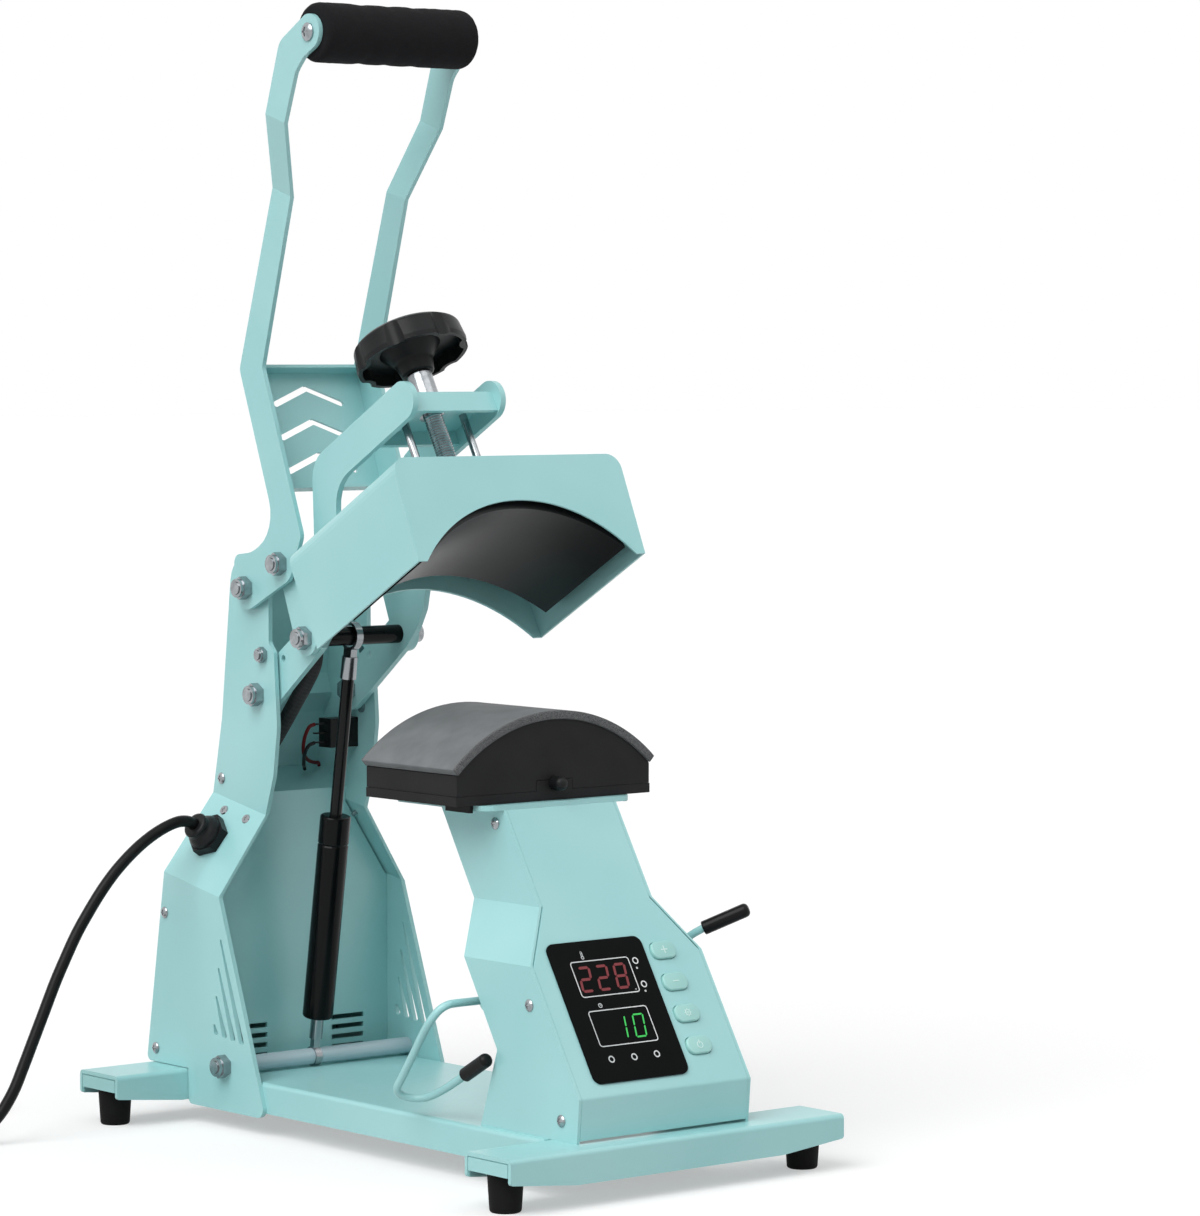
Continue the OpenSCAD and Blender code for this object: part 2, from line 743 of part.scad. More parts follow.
// carries the frame along the path without twist
function frames(pts, i, u, out) =
    i == len(pts) ? out :
    let (t = path_dir(pts, i), w = unit(u - (u * t) * t))
    frames(pts, i + 1, w, concat(out, [[w, cross(t, w)]]));

module tube(pts, d, n, start_u = [0, 0, 1]) {
    fr = frames(pts, 0, start_u, []);
    m = len(pts);
    verts = [for (i = [0 : m - 1]) each ring(pts[i], fr[i][0], fr[i][1], d / 2, n)];
    sides = [for (i = [0 : m - 2], k = [0 : n - 1])
        each [[i * n + k, (i + 1) * n + k, i * n + (k + 1) % n],
              [i * n + (k + 1) % n, (i + 1) * n + k, (i + 1) * n + (k + 1) % n]]];
    caps = concat([for (k = [1 : n - 2]) [0, k, k + 1]],
                  [for (k = [1 : n - 2]) [(m - 1) * n, (m - 1) * n + k + 1, (m - 1) * n + k]]);
    polyhedron(verts, concat(sides, caps));
}

// a smooth curve through the points, with a fixed number of steps between each two
function spline_at(a, b, c, d, t) =
    0.5 * ((2 * b) + (c - a) * t + (2 * a - 5 * b + 4 * c - d) * t * t + (3 * b - a - 3 * c + d) * t * t * t);

function smooth(pts, steps) =
    let (n = len(pts))
    concat([for (i = [0 : n - 2], s = [0 : steps - 1])
        let (a = i == 0 ? 2 * pts[0] - pts[1] : pts[i - 1])
        let (d = i == n - 2 ? 2 * pts[n - 1] - pts[n - 2] : pts[i + 2])
        spline_at(a, pts[i], pts[i + 1], d, s / steps)], [pts[n - 1]]);

module switch_wires() {
    color([0.55, 0.08, 0.08]) tube(smooth([[7.8, 378, 256], [3.5, 378.5, 254], [3, 383, 246], [9, 392, 236.5],
        [19, 401, 230.5], [28, 406, 228], [33, 408.6, 227.4], [34.5, 409.8, 225.4]], 3), 2.4, 8);
    color(near_black) tube(smooth([[7.8, 378, 244], [4, 379.5, 242], [5.5, 386, 236], [12, 396, 228.8],
        [18, 404, 226.4], [20.5, 406.6, 223.9]], 3), 2.4, 8);
}

// the gland sits square on the slanted part of the left wall
gland_thread_d = 16;
gland_at = [56.6, 404, 184];

// puts a fitting square on the slanted part of the right wall, its axis outwards
module facet_place(at) {
    lean = atan2(tower_low_half - tower_half, fold_high - fold_low);
    translate(at) rotate([fold_tilt, 0, 0]) rotate([0, 90 - lean, 0]) children();
}

module gland_place() {
    facet_place(gland_at) children();
}

module cable_gland() {
    flats = 25;
    wall = 0.1;
    color(near_black) mirror([1, 0, 0]) gland_place() difference() {
        union() {
            translate([0, 0, -9]) cylinder(h = 12, d = gland_thread_d);
            translate([0, 0, wall]) cylinder(h = 6, d = flats / cos(30), $fn = 6);
            translate([0, 0, 6]) rotate_extrude() polygon([
                [0, 0], [12, 0], [11.8, 2], [10.4, 4.5], [8.6, 6.5], [8, 8.5], [8.6, 9.3], [8.8, 10.2],
                [8.2, 11.2], [7, 11.6], [0, 11.6]]);
            translate([0, 0, -tower_sheet - 4.3]) cylinder(h = 4, d = flats / cos(30), $fn = 6);
        }
        translate([0, 0, 14]) cylinder(h = 4, d = cord_d + 0.6);
    }
}

// the free stretch of the cord, from the gland down to the coil on the floor
cord_route = [[-68.8, 402.5, 192], [-72.2, 402.1, 194.2], [-77, 401.8, 195.9], [-84, 401.8, 196], [-93,
    402.6, 193.2],
    [-102, 404, 188.5], [-112, 404, 182.5], [-122, 404, 175], [-132, 404, 166], [-142, 404, 155],
    [-152, 404, 142], [-161, 404, 129], [-169, 404, 115], [-177, 404, 100], [-185, 404, 83],
    [-193, 404, 66], [-201, 404, 49], [-209, 404, 33], [-218, 406, 19], [-229, 408, 9.4], [-239, 409.6, 5.4],
    [-247, 410, 4.05], [-253.8, 410, 4]];

module power_cord() {
    color(near_black) tube(smooth(cord_route, 3), cord_d, 8);
}

// the stored length of the cord: two layers of turns that spiral in and out again
coil_at = [-262, 463.55];
coil_turns = 5.5;
coil_step = 8.4;
coil_mean_r = 42;
coil_rings = 24;
coil_outer_r = coil_mean_r + coil_step * coil_turns / 4;
coil_angles = [for (i = [0 : coil_turns * coil_rings]) 360 * i / coil_rings];

function coil_r(a) = coil_outer_r - coil_step * min(a, 360 * coil_turns - a) / 360;
function coil_z(a) =
    let (t = min(1, max(0, (a - 180 * coil_turns + 90) / 180)))
    cord_route[len(cord_route) - 1].z + coil_step * t * t * (3 - 2 * t);
function coil_point(a) = [coil_at.x - coil_r(a) * sin(a), coil_at.y - coil_r(a) * cos(a), coil_z(a)];

// both ends of the coil run straight for a little more than one diameter
coil_end = coil_point(360 * coil_turns);
coil_tail = 34;
coil_path = concat([coil_point(0) + [8, 0, 0]], [for (a = coil_angles) coil_point(a)],
    [coil_end + [coil_tail / 2, 0, 0], coil_end + [coil_tail, 0, 0]]);
coil_gaps = [for (i = [0 : len(coil_path) - 1], j = [i + 12 : len(coil_path) - 1])
    norm(coil_path[i] - coil_path[j]) - cord_d];
echo(coil_least_gap = min(coil_gaps));

module cord_coil() {
    color(near_black) tube(coil_path, cord_d, 6);
}

// a plug with two flat blades and a round earth pin, lying beside the coil
module mains_plug() {
    at = coil_path[len(coil_path) - 1];
    color(near_black) translate(at) rotate([0, 90, 0]) difference() {
        union() {
            rotate_extrude() polygon(rounded([[0, 0], [5, 0], [6, 12], [7.5, 20], [0, 20]]));
            translate([0, 0, 19]) intersection() {
                linear_extrude(34) polygon(rounded([
                    [-12, -13.5, 4], [12, -13.5, 4], [12, 13.5, 4], [-12, 13.5, 4]]));
                rotate([90, 0, 0]) translate([0, 0, -20]) linear_extrude(40) polygon(rounded([
                    [-8, 0], [8, 0], [11, 10, 8], [12, 24], [12, 34, 2], [-12, 34, 2], [-12, 24], [-11,
                        10, 8]]));
            }
        }
        translate([0, 0, 53]) {
            for (side = [-1, 1]) translate([-3.15 + 3, side * 6.35 - 0.75, -8]) cube([6.3, 1.5, 20]);
            translate([-6, 0, -8]) cylinder(h = 20, d = 4.8);
        }
    }
    color([0.8, 0.65, 0.3]) translate(at) rotate([0, 90, 0]) translate([0, 0, 53 - 7.9]) {
        for (side = [-1, 1]) translate([-3.15 + 3, side * 6.35 - 0.75, 0]) cube([6.3, 1.5, 24]);
        translate([-6, 0, 0]) {
            cylinder(h = 25, d = 4.8);
            translate([0, 0, 25]) cylinder(h = 3, d1 = 4.8, d2 = 2.4);
        }
    }
}

// a pan-head screw through a wall of the given thickness, its head outwards along +X
module pan_head(at, grip) {
    translate(at) rotate([0, 90, 0]) difference() {
        union() {
            translate([0, 0, -grip]) cylinder(h = grip + 0.15, d = screw_shank);
            translate([0, 0, 0.1]) intersection() {
                cylinder(h = 2.4, d = 7.4);
                translate([0, 0, -3.2]) sphere(r = 5.2);
            }
        }
        translate([-0.4, -1.9, 1.3]) cube([0.8, 3.8, 3]);
        translate([-1.9, -0.4, 1.3]) cube([3.8, 0.8, 3]);
    }
}

module panel_screws() {
    color(zinc) both_sides() {
        for (screw = pedestal_screws) pan_head(screw, 5);
        for (screw = tower_screws) pan_head(screw, tower_sheet);
        for (at = facet_screws) facet_place(at) difference() {
            union() {
                translate([0, 0, -tower_sheet - 2]) cylinder(h = tower_sheet + 2.1, d = screw_shank);
                translate([0, 0, 0.06]) cylinder(h = 0.7, d1 = 6.6, d2 = 5.8);
            }
            translate([-0.4, -1.6, 0.3]) cube([0.8, 3.2, 1]);
            translate([-1.6, -0.4, 0.3]) cube([3.2, 0.8, 1]);
        }
    }
    // a low-headed screw on the inside of the right wall, under the arm pivot
    color(zinc) {
        rod_x(tower_half - tower_sheet - 1.2, tower_half - tower_sheet - 0.05, inner_screw, 7);
        rod_x(tower_half - tower_sheet - 0.1, tower_half + 0.8, inner_screw, screw_shank);
    }
}

// the bent wire: an axle behind the pedestal, a low hook on the left, a lever on the right
wire_axle = [122, 107.5];
hook_x = pedestal_half + 5;
lever_x = pedestal_half + 8;
wire_route = [[-hook_x, 112, 67], [-hook_x, 128, 58], [-hook_x, 141, 51.5], [-hook_x - 1.5, 150, 47.5],
    [-hook_x - 5, 156, 46], [-hook_x - 10, 160, 46.5], [-hook_x - 15, 162, 49], [-hook_x - 18, 160.5, 53.5],
    [-hook_x - 18, 155, 61], [-hook_x - 18, 144, 76], [-hook_x - 18, 134, 90], [-hook_x - 17, 128, 98],
    [-hook_x - 14, 124, 104], [-hook_x - 9, 122, 107], [-hook_x - 3, 122, 107.5], [-pedestal_half + 1,
        122, 107.5],
    [-40, 122, 107.5], [0, 122, 107.5], [40, 122, 107.5], [pedestal_half - 7, 122, 107.5],
    [lever_x - 7, 121.5, 108], [lever_x, 119, 111], [lever_x + 5, 115, 116.5], [lever_x + 10, 108, 126],
    [lever_x + 15, 100, 136], [lever_x + 20, 92, 142], [lever_x + 26, 86, 145.8]];
wire_cap_left = [[-hook_x, 117, 64.2], [-hook_x, 94.4, 76.9]];
wire_cap_right = [[lever_x + 20.5, 91.5, 142.3], [lever_x + 40.5, 71.5, 154.9]];

module cap_hold_wire() {
    color(mint) tube(smooth(wire_route, 2), wire_d, 10);
}

// a dipped vinyl cap over the end of the wire
module vinyl_cap(from, to) {
    v = to - from;
    h = norm(v);
    translate(from) rotate([0, acos(v.z / h), atan2(v.y, v.x)]) difference() {
        rotate_extrude() polygon(rounded([[0, 0], [wire_d / 2 + 1.9, 0, 0.8], [wire_d / 2 + 1.9, h, 3],
            [0, h]]));
        translate([0, 0, -1]) cylinder(h = 11, d = wire_d + 0.6);
    }
}

module hold_wire_caps() {
    color(near_black) {
        vinyl_cap(wire_cap_left[0], wire_cap_left[1]);
        vinyl_cap(wire_cap_right[0], wire_cap_right[1]);
    }
}

// a bridge behind the front panel whose two ears carry the wire's axle
module hold_wire_bracket() {
    low_in = pedestal_half - pedestal_sheet - 0.2;
    color(mint_dark) difference() {
        union() {
            translate([-low_in, 96, 100]) cube([2 * low_in, 2, 15]);
            for (side = [-1, 1]) {
                translate([side * 50 - 1.5, 98, 100]) cube([3, 24, 15]);
                rod_x(side * 50 - 1.5, side * 50 + 1.5, wire_axle, 15);
                translate([side * (low_in - 1) - 1, 88, 100]) cube([2, 8, 15]);
            }
        }
        rod_x(-100, 100, wire_axle, wire_d + 2 * run_fit);
    }
}

module platen_tray() {
    half = platen_width / 2;
    tab_in = top_plate_width / 2 + side_gap;
    color(near_black) {
        translate([-half, platen_front, tray_z]) difference() {
            cube([platen_width, platen_depth, tray_t - 0.2]);
            translate([3, 3, 2]) cube([platen_width - 6, platen_depth - 6, tray_t]);
        }
        both_sides() translate([tab_in, platen_front + 5, tray_z - 5]) cube([2.5, 24, 5.01]);
        // raised tab for the lock screw, let into the front of the core
        difference() {
            translate([-14, platen_front, tray_z]) cube([28, 2.5, 12.2]);
            lock_axis() translate([0, 0, -20]) cylinder(h = 40, d = lock_d + 0.4);
        }
    }
}

lock_d = 6;

module lock_axis() {
    translate([0, platen_front, core_z + 4.2]) rotate([90, 0, 0]) children();
}

module crown_profile(rise, r, half, low) {
    intersection() {
        translate([-half, low]) square([2 * half, 100]);
        translate([0, low + rise - r]) circle(r = r, $fn = 180);
    }
}

module platen_core() {
    half = platen_width / 2 - 0.5;
    color(near_black) difference() {
        along_y(platen_front + 0.1, platen_front + platen_depth) crown_profile(core_rise, core_r, half,
            core_z);
        translate([-14.3, platen_front - 1, core_z - 1]) cube([28.6, 3.9, 7.5]);
        lock_axis() translate([0, 0, -22]) cylinder(h = 30, d = lock_d + 0.1);
        // a counterbore for the knob of the lock screw
        translate([-half + 8, platen_front + 10, core_z - 1]) cube([2 * half - 16, platen_depth - 20, 5]);
    }
}

module silicone_pad() {
    half = platen_width / 2 + 3;
    color(dark_grey)
        along_y(platen_front - pad_overhang, platen_front + platen_depth + pad_overhang) difference() {
            intersection() {
                translate([-half, crown_z - 40]) square([2 * half, 80]);
                translate([0, crown_z - core_r]) circle(r = pad_r, $fn = 180);
            }
            translate([0, crown_z - core_r]) circle(r = core_r + 0.05, $fn = 180);
            // the ends are cut square to the curve
            for (side = [-1, 1])
                translate([side * (platen_width / 2 - 0.5), core_z - 20]) rotate(side * -45)
                    translate([side > 0 ? 0 : -20, -20]) square([20, 50]);
        }
}

module platen_lock_screw() {
    color(near_black) lock_axis() {
        translate([0, 0, -20]) cylinder(h = 20.2, d = lock_d);
        translate([0, 0, 0.2]) cylinder(h = 5.6, d = 9);
        translate([0, 0, 5.8]) intersection() {
            cylinder(h = 6, d = 9);
            sphere(d = 9);
        }
    }
}

// the arm plate in its working position, seen from the side
function arm_outline() = [
    [151, arm_top_z], [252, arm_top_z, 20], [294.2, 301, 12], [330.6, 295.4, 10], [374.8, 291.4],
    [371.3, 264.6], [304.6, 274.6, 10], [289.4, 280, 10], [276.4, 287.9, 8], [266.6, 298.8, 12],
    [237.4, arm_low_z, 24], [151, arm_low_z]];

module head_arm() {
    raised() difference() {
        union() {
            along_x(arm_in, arm_out) polygon(rounded(arm_outline()));
            rod_x(arm_in, arm_out, [151, (arm_top_z + arm_low_z) / 2], arm_bar);
            rod_x(arm_in, arm_out, arm_pivot, 27);
        }
        rod_x(0, 100, arm_pivot, bolt_d + 2 * run_fit);
        rod_x(0, 100, tube_axis_closed, bolt_d + 0.1);
        rod_x(0, 100, [342, 288.4], 4.5);
    }
}

module left_head_arm() {
    color(mint) mirror([1, 0, 0]) head_arm();
}

module right_head_arm() {
    color(mint) head_arm();
}

module arm_cross_bar() {
    half = arm_in - 0.05;
    color(mint) raised() difference() {
        union() {
            translate([-half, bar_front_y, bar_top_z - bar_plate_t]) cube([2 * half, 48, bar_plate_t]);
            translate([-half, bar_front_y, bar_flange_low]) cube([2 * half, 3, bar_top_z - bar_flange_low]);
            translate([-half, bar_front_y + 45, bar_flange_low]) cube([2 * half, 3,
                bar_top_z - bar_flange_low]);
        }
        translate([0, head_y, 0]) cylinder(h = 600, d = bush_d + 0.1);
        for (side = [-1, 1])
            translate([side * guide_offset, head_y, 0]) cylinder(h = 600, d = guide_d + 2 * run_fit);
    }
}

module cross_tube() {
    half = arm_in - 0.05;
    color(near_black) difference() {
        rod_x(-half, half, tube_axis, cross_tube_d);
        rod_x(-half - 1, half + 1, tube_axis, bolt_d + 0.2);
    }
}

// the threaded bush pressed into the bar, up to just under the knob, and the stud through the cross tube
module bush_and_stud() {
    reach = link_out + 0.2 + nut_t + 0.8;
    seat = bar_plate_t + 0.06;
    color(zinc) raised() translate([0, head_y, bar_top_z - bar_plate_t]) difference() {
        rotate_extrude() polygon(rounded([
            [0, 0], [bush_d / 2, 0], [bush_d / 2, seat], [bush_d / 2 + 1.2, seat],
            [bush_d / 2 + 1.2, seat + 3], [bush_d / 2, seat + 3.5],
            [bush_d / 2, bush_high - bar_top_z + bar_plate_t, 1], [0, bush_high - bar_top_z + bar_plate_t]]));
        translate([0, 0, -1]) cylinder(h = 60, d = screw_d + 2 * run_fit);
    }
    color(zinc) {
        rod_x(-reach, reach, tube_axis, bolt_d);
        both_sides() {
            lock_nut(link_out + 0.2, tube_axis, nut_flats, bolt_d + 0.3);
            washer(arm_out + 0.05, link_in - 0.1, tube_axis, bolt_d + 0.3, 18);
        }
    }
}

// the link, with a slot around the handle's pin, where the closed linkage is opened
module toggle_link() {
    reach = link_pin - tube_axis;
    width = bolt_d + 2 * slot_play;
    along_x(link_in, link_out) translate(tube_axis) rotate(atan2(reach.y, reach.x)) difference() {
        union() {
            translate([norm(reach), 0]) circle(r = link_end_r);
            circle(r = link_end_r);
            translate([0, -link_end_r]) square([norm(reach), 2 * link_end_r]);
        }
        circle(d = bolt_d + 2 * run_fit);
        translate([norm(reach), 0.4]) rotate(161) {
            circle(d = width);
            translate([0, -width / 2]) square([slot_length, width]);
            translate([slot_length, 0]) circle(d = width);
        }
    }
}

module left_toggle_link() {
    color(mint) mirror([1, 0, 0]) toggle_link();
}

module right_toggle_link() {
    color(mint) toggle_link();
}

// the handle plate in the open position, seen from the side
grip_at = [285.5, grip_z];
function handle_outline() = [
    [384, 335], [391, 352, 6], [390, 368, 6], [371, 370, 24], [344, 384, 24], [383.5, 487.5, 8],
    [369, 533, 20], [347.5, 600, 10], [332.5, 646, 10], [316.5, 693.5, 12], [291.2, 707.7],
    [grip_at.x, grip_at.y], [280.3, 688], [290.5, 683, 8], [299.5, 674, 12], [311.5, 642, 10],
    [327, 597.5, 10], [358.8, 489, 8], [317, 382, 8], [329, 356], [handle_pivot.x, handle_pivot.y]];

module handle_arm() {
    difference() {
        intersection() {
            union() {
                along_x(0, 100) polygon(rounded(handle_outline()));
                rod_x(0, 100, grip_at, 22.6);
                along_x(0, 100) hull() {
                    translate(handle_pivot) circle(d = 28);
                    translate(link_pin) circle(d = 26);
                }
            }
            translate([0, 329.3, 623]) rotate([18, 0, 0])
                bent_wall(handle_out, handle_out + handle_jog, -24, 24, handle_t);
        }
        rod_x(0, 100, handle_pivot, bolt_d + 2 * run_fit);
        rod_x(0, 100, link_pin, bolt_d + 0.1);
        rod_x(0, 100, grip_at, 6.2);
    }
}

module left_handle_arm() {
    color(mint) mirror([1, 0, 0]) handle_arm();
}

module right_handle_arm() {
    color(mint) handle_arm();
}

// the panel between the handle arms: a sheet with a top and a bottom lip and three chevron slots
panel_low = [354.5, 409];
panel_high = [382, 486];

module handle_cross_panel() {
    half = handle_in - 0.05;
    along = unit(panel_high - panel_low);
    out = [-along.y, along.x];
    t = 2;
    lip_top = 14;
    lip_low = 8;
    color(mint_dark) difference() {
        along_x(-half, half) polygon([
            panel_low, panel_low + out * lip_low, panel_low + out * lip_low + along * t,
            panel_low + out * t + along * t, panel_high + out * t - along * t,
            panel_high + out * lip_top - along * t, panel_high + out * lip_top, panel_high]);
        for (i = [0 : 2])
            translate([0, panel_low.x + along.x * (24 + 22.8 * i), panel_low.y + along.y * (24 + 22.8 * i)])
                rotate([90 - atan2(along.x, along.y), 0, 0]) both_sides()
                    rotate([0, 0, -22]) translate([-0.5, -2, -12]) linear_extrude(30) {
                        square([28.5, 4]);
                        translate([28.5, 2]) circle(d = 4);
                    }
    }
}

module grip_rod() {
    half = handle_out + handle_jog - handle_t - 0.1;
    color(zinc) {
        difference() {
            rod_x(-half, half, grip_at, 10);
            both_sides() rod_x(half - 15, half + 1, grip_at, 5.2);
        }
        both_sides() {
            rod_x(half - 12, half + handle_t + 0.2, grip_at, 5);
            translate([handle_out + handle_jog + 0.15, grip_at.x, grip_at.y]) rotate([0, 90, 0])
                difference() {
                intersection() {
                    cylinder(h = 3.2, d = 11.5);
                    translate([0, 0, -5.2]) sphere(r = 8.4);
                }
                translate([-0.6, -3, 1.8]) cube([1.2, 6, 3]);
                translate([-3, -0.6, 1.8]) cube([6, 1.2, 3]);
            }
        }
    }
}

module foam_grip() {
    half = handle_out + handle_jog - handle_t - 0.4;
    r = grip_d / 2;
    color(near_black) translate([0, grip_at.x, grip_at.y]) rotate([0, 90, 0]) rotate_extrude()
        polygon(rounded([
        [5.05, -half], [r - 0.5, -half, 4], [r, -half + 14, 6], [r - 0.7, -29], [r, -16, 6], [r - 0.7, 0],
        [r, 16, 6], [r - 0.7, 29], [r, half - 14, 6], [r - 0.5, half, 4], [5.05, half]]));
}

module handle_link_bolts() {
    color(zinc) both_sides() {
        side_bolt(link_in - 0.3 - head_t, handle_out, link_pin);
        washer(link_out + 0.2, handle_in - 0.15, link_pin, bolt_d + 0.3, 17);
    }
}

// the gas spring lies between the lower shaft and the cross tube
spring_vector = tube_axis - spring_shaft_at;
spring_span = norm(spring_vector);
spring_lean = atan2(spring_vector.x, spring_vector.y);

// puts the spring's own upward axis in place, a little left of the middle
spring_x = -4.5;

module on_spring() {
    translate([spring_x, spring_shaft_at.x, spring_shaft_at.y]) rotate([-spring_lean, 0, 0]) children();
}

module gas_spring_cylinder() {
    eye = sleeve_d + 2 * run_fit;
    low = 26;
    groove = gas_length - 19;
    color(near_black) on_spring() difference() {
        translate([0, 0, low]) rotate_extrude() polygon(rounded([
            [0, 0], [gas_d / 2, 0, 2], [gas_d / 2, groove - 1, 0.4], [gas_d / 2 - 0.6, groove],
            [gas_d / 2, groove + 1, 0.4], [gas_d / 2, gas_length, 1.5], [0, gas_length]]));
        translate([0, 0, low + 3]) cylinder(h = gas_length, d = gas_rod_d + 2 * run_fit);
    }
    // a round fitting that ends in a thin eye around the sleeve
    color(zinc) on_spring() difference() {
        union() {
            translate([0, 0, 12]) cylinder(h = low - 12 + 0.5, d = 8.5);
            rotate([0, 90, 0]) cylinder(h = 5, d = eye + 2, center = true);
            translate([-2.5, -2, 5]) cube([5, 4, 9]);
        }
        rotate([0, 90, 0]) cylinder(h = 20, d = eye, center = true);
    }
}

module gas_spring_rod() {
    eye = cross_tube_d + 2 * eye_play;
    low = 60;
    color(near_black) on_spring() translate([0, 0, low]) cylinder(h = spring_span - low - 14, d = gas_rod_d);
    color(zinc) on_spring() translate([0, 0, spring_span - 28]) cylinder(h = 14.5, d = 10.5);
    color(zinc) on_spring() difference() {
        union() {
            translate([0, 0, spring_span]) rotate([0, 90, 0]) cylinder(h = 5, d = eye + 4, center = true);
            translate([-2.5, -4, spring_span - 20]) cube([5, 8, 14]);
        }
        translate([0, 0, spring_span]) rotate([0, 90, 0]) cylinder(h = 20, d = eye, center = true);
    }
}

// the cover in its working position, seen from the side, shrunk by a margin
function cover_side(m) =
    let (y0 = cover_front, y1 = cover_front + cover_depth)
    let (low = cover_low_z - (m > 0 ? 5 : 0))
    [[y0 + m, low], [y0 - 6.7 + m, cover_top_z - m], [y1 - m, cover_top_z - m], [y1 - m, low]];

module cover_shell(m) {
    half = cover_width / 2 - m;
    intersection() {
        along_x(-half, half) polygon(cover_side(m));
        along_y(0, 400) polygon(rounded([
            [-half, 0], [-half, cover_top_z - m, 10 - m], [half, cover_top_z - m, 10 - m], [half, 0]]));
    }
}

module head_cover() {
    color(mint) raised() difference() {
        cover_shell(0);
        cover_shell(cover_sheet);
        along_y(0, 400) intersection() {
            translate([-arch_half, 0]) square([2 * arch_half, 400]);
            translate([0, cover_low_z - sqrt(arch_r * arch_r - arch_half * arch_half)]) circle(r =
                arch_r, $fn = 180);
        }
        translate([0, head_y, 0]) cylinder(h = 600, d = screw_d + 8);
        for (side = [-1, 1])
            translate([side * guide_offset, head_y, 0]) cylinder(h = 600, d = guide_d + 0.2);
    }
}

module heated_platen() {
    half = heater_width / 2;
    y0 = head_y - heater_depth / 2;
    color(dark_grey) raised() difference() {
        translate([-half, y0, heater_low_z]) cube([heater_width, heater_depth, heater_height]);
        along_y(y0 - 1, y0 + heater_depth + 1)
            translate([0, heater_crown_z - heater_arc_r]) circle(r = heater_arc_r, $fn = 180);
        for (x = [-55, 55], y = [-30, 30])
            translate([x, head_y + y, heater_top_z - 8]) cylinder(h = 20, d = 5);
    }
}

// a plate above the heated platen that carries the guide rods and the screw's swivel
module head_top_plate() {
    color(dark_grey) raised() difference() {
        union() {
            translate([-70, head_y - 40, heater_top_z + 6]) cube([140, 80, 4]);
            for (x = [-55, 55], y = [-30, 30])
                translate([x, head_y + y, heater_top_z + 0.05]) cylinder(h = 6, d = 9);
            translate([0, head_y, heater_top_z + 10]) cylinder(h =
                cover_top_z - cover_sheet - heater_top_z - 10.1, d = 30);
        }
        translate([0, head_y, heater_top_z + 12]) cylinder(h = 100, d = screw_d + 2 * run_fit + 4.2);
        for (side = [-1, 1])
            translate([side * guide_offset, head_y, 0]) cylinder(h = 600, d = guide_d + 0.05);
    }
}

module guide_rods() {
    color(zinc) raised() for (side = [-1, 1])
        translate([side * guide_offset, head_y, heater_top_z + 6]) cylinder(h =
            bar_top_z + 1.5 - heater_top_z - 6, d = guide_d);
}

// the screw, with its thread as fine grooves, and a foot that turns in the head's swivel
module pressure_screw() {
    foot = heater_top_z + 12.2;
    top = knob_low_z + 6;
    groove_low = cover_top_z - 6;
    groove_high = bar_top_z - bar_plate_t - 0.4;
    grooves = floor((groove_high - groove_low) / screw_pitch);
    r = screw_d / 2;
    color(zinc) raised() translate([0, head_y, 0]) rotate_extrude() polygon(concat(
        [[0, foot], [r + 2, foot], [r + 2, foot + 3], [r, foot + 3]],
        [for (i = [0 : grooves - 1]) each [
            [r, groove_low + screw_pitch * i], [r - 0.9, groove_low + screw_pitch * (i + 0.5)]]],
        [[r, groove_low + screw_pitch * grooves], [r, top], [0, top]]));
}

// the knob's outline with its notches, grown or shrunk by a margin
module knob_outline(grow) {
    dip = 8;
    difference() {
        circle(r = knob_d / 2 + grow, $fn = 96);
        for (i = [0 : knob_lobes - 1])
            rotate(360 * (i + 0.25) / knob_lobes) translate([knob_d / 2 + dip * 0.62, 0]) circle(r =
                dip - grow);
    }
}

// a hollow knob: a thin lobed rim around a shallow recess, and a hub that reaches down to the bush
module star_knob() {
    r = knob_d / 2;
    recess = 7.5;
    color(near_black) raised() translate([0, head_y, knob_low_z]) difference() {
        union() {
            difference() {
                intersection() {
                    linear_extrude(knob_rim) knob_outline(0);
                    translate([0, 0, -5]) rotate_extrude($fn = 96) polygon(rounded([
                        [0, 0], [r - 1, 0], [r, 8, 2], [r - 1.5, knob_rim + 2, 3], [r - 6, knob_rim + 5, 4],
                        [0, knob_rim + 5]]));
                }
                translate([0, 0, -1]) linear_extrude(recess + 1) knob_outline(-3);
            }
            translate([0, 0, -knob_hub]) rotate_extrude() polygon(rounded([
                [0, 0], [10.5, 0, 1.5], [12.5, 9, 4], [20, knob_hub + recess], [20, knob_hub + recess + 2],
                [0, knob_hub + recess + 2]]));
        }
        translate([0, 0, -20]) cylinder(h = 26.2, d = screw_d + 0.1);
    }
}

// the fabric sleeve over the heater leads, from the head cover down into the tower
cable_exit_closed = [cover_front + cover_depth + 0.1, 300];
cable_exit = arm_pivot + turned(cable_exit_closed - arm_pivot, -raise_angle);
cable_lead = cable_exit + turned([9, 0], -raise_angle);
cable_route = [[-25, cable_exit.x, cable_exit.y], [-25, cable_lead.x, cable_lead.y], [-25, 291, 349.5],
    [-24, 307, 341.5], [-23, 321, 333.5], [-22, 331.5, 322.5], [-21, 336.5, 309], [-20, 341, 297],
    [-20, 350, 285], [-20, 361, 272.5], [-20, 373, 259], [-20, 385, 246], [-20, 394, 236], [-20, 400, 228.5],
    [-20, 401.5, 222.6]];

module heater_cable() {
    color(near_black) tube(smooth(cable_route, 2), 10, 12);
}

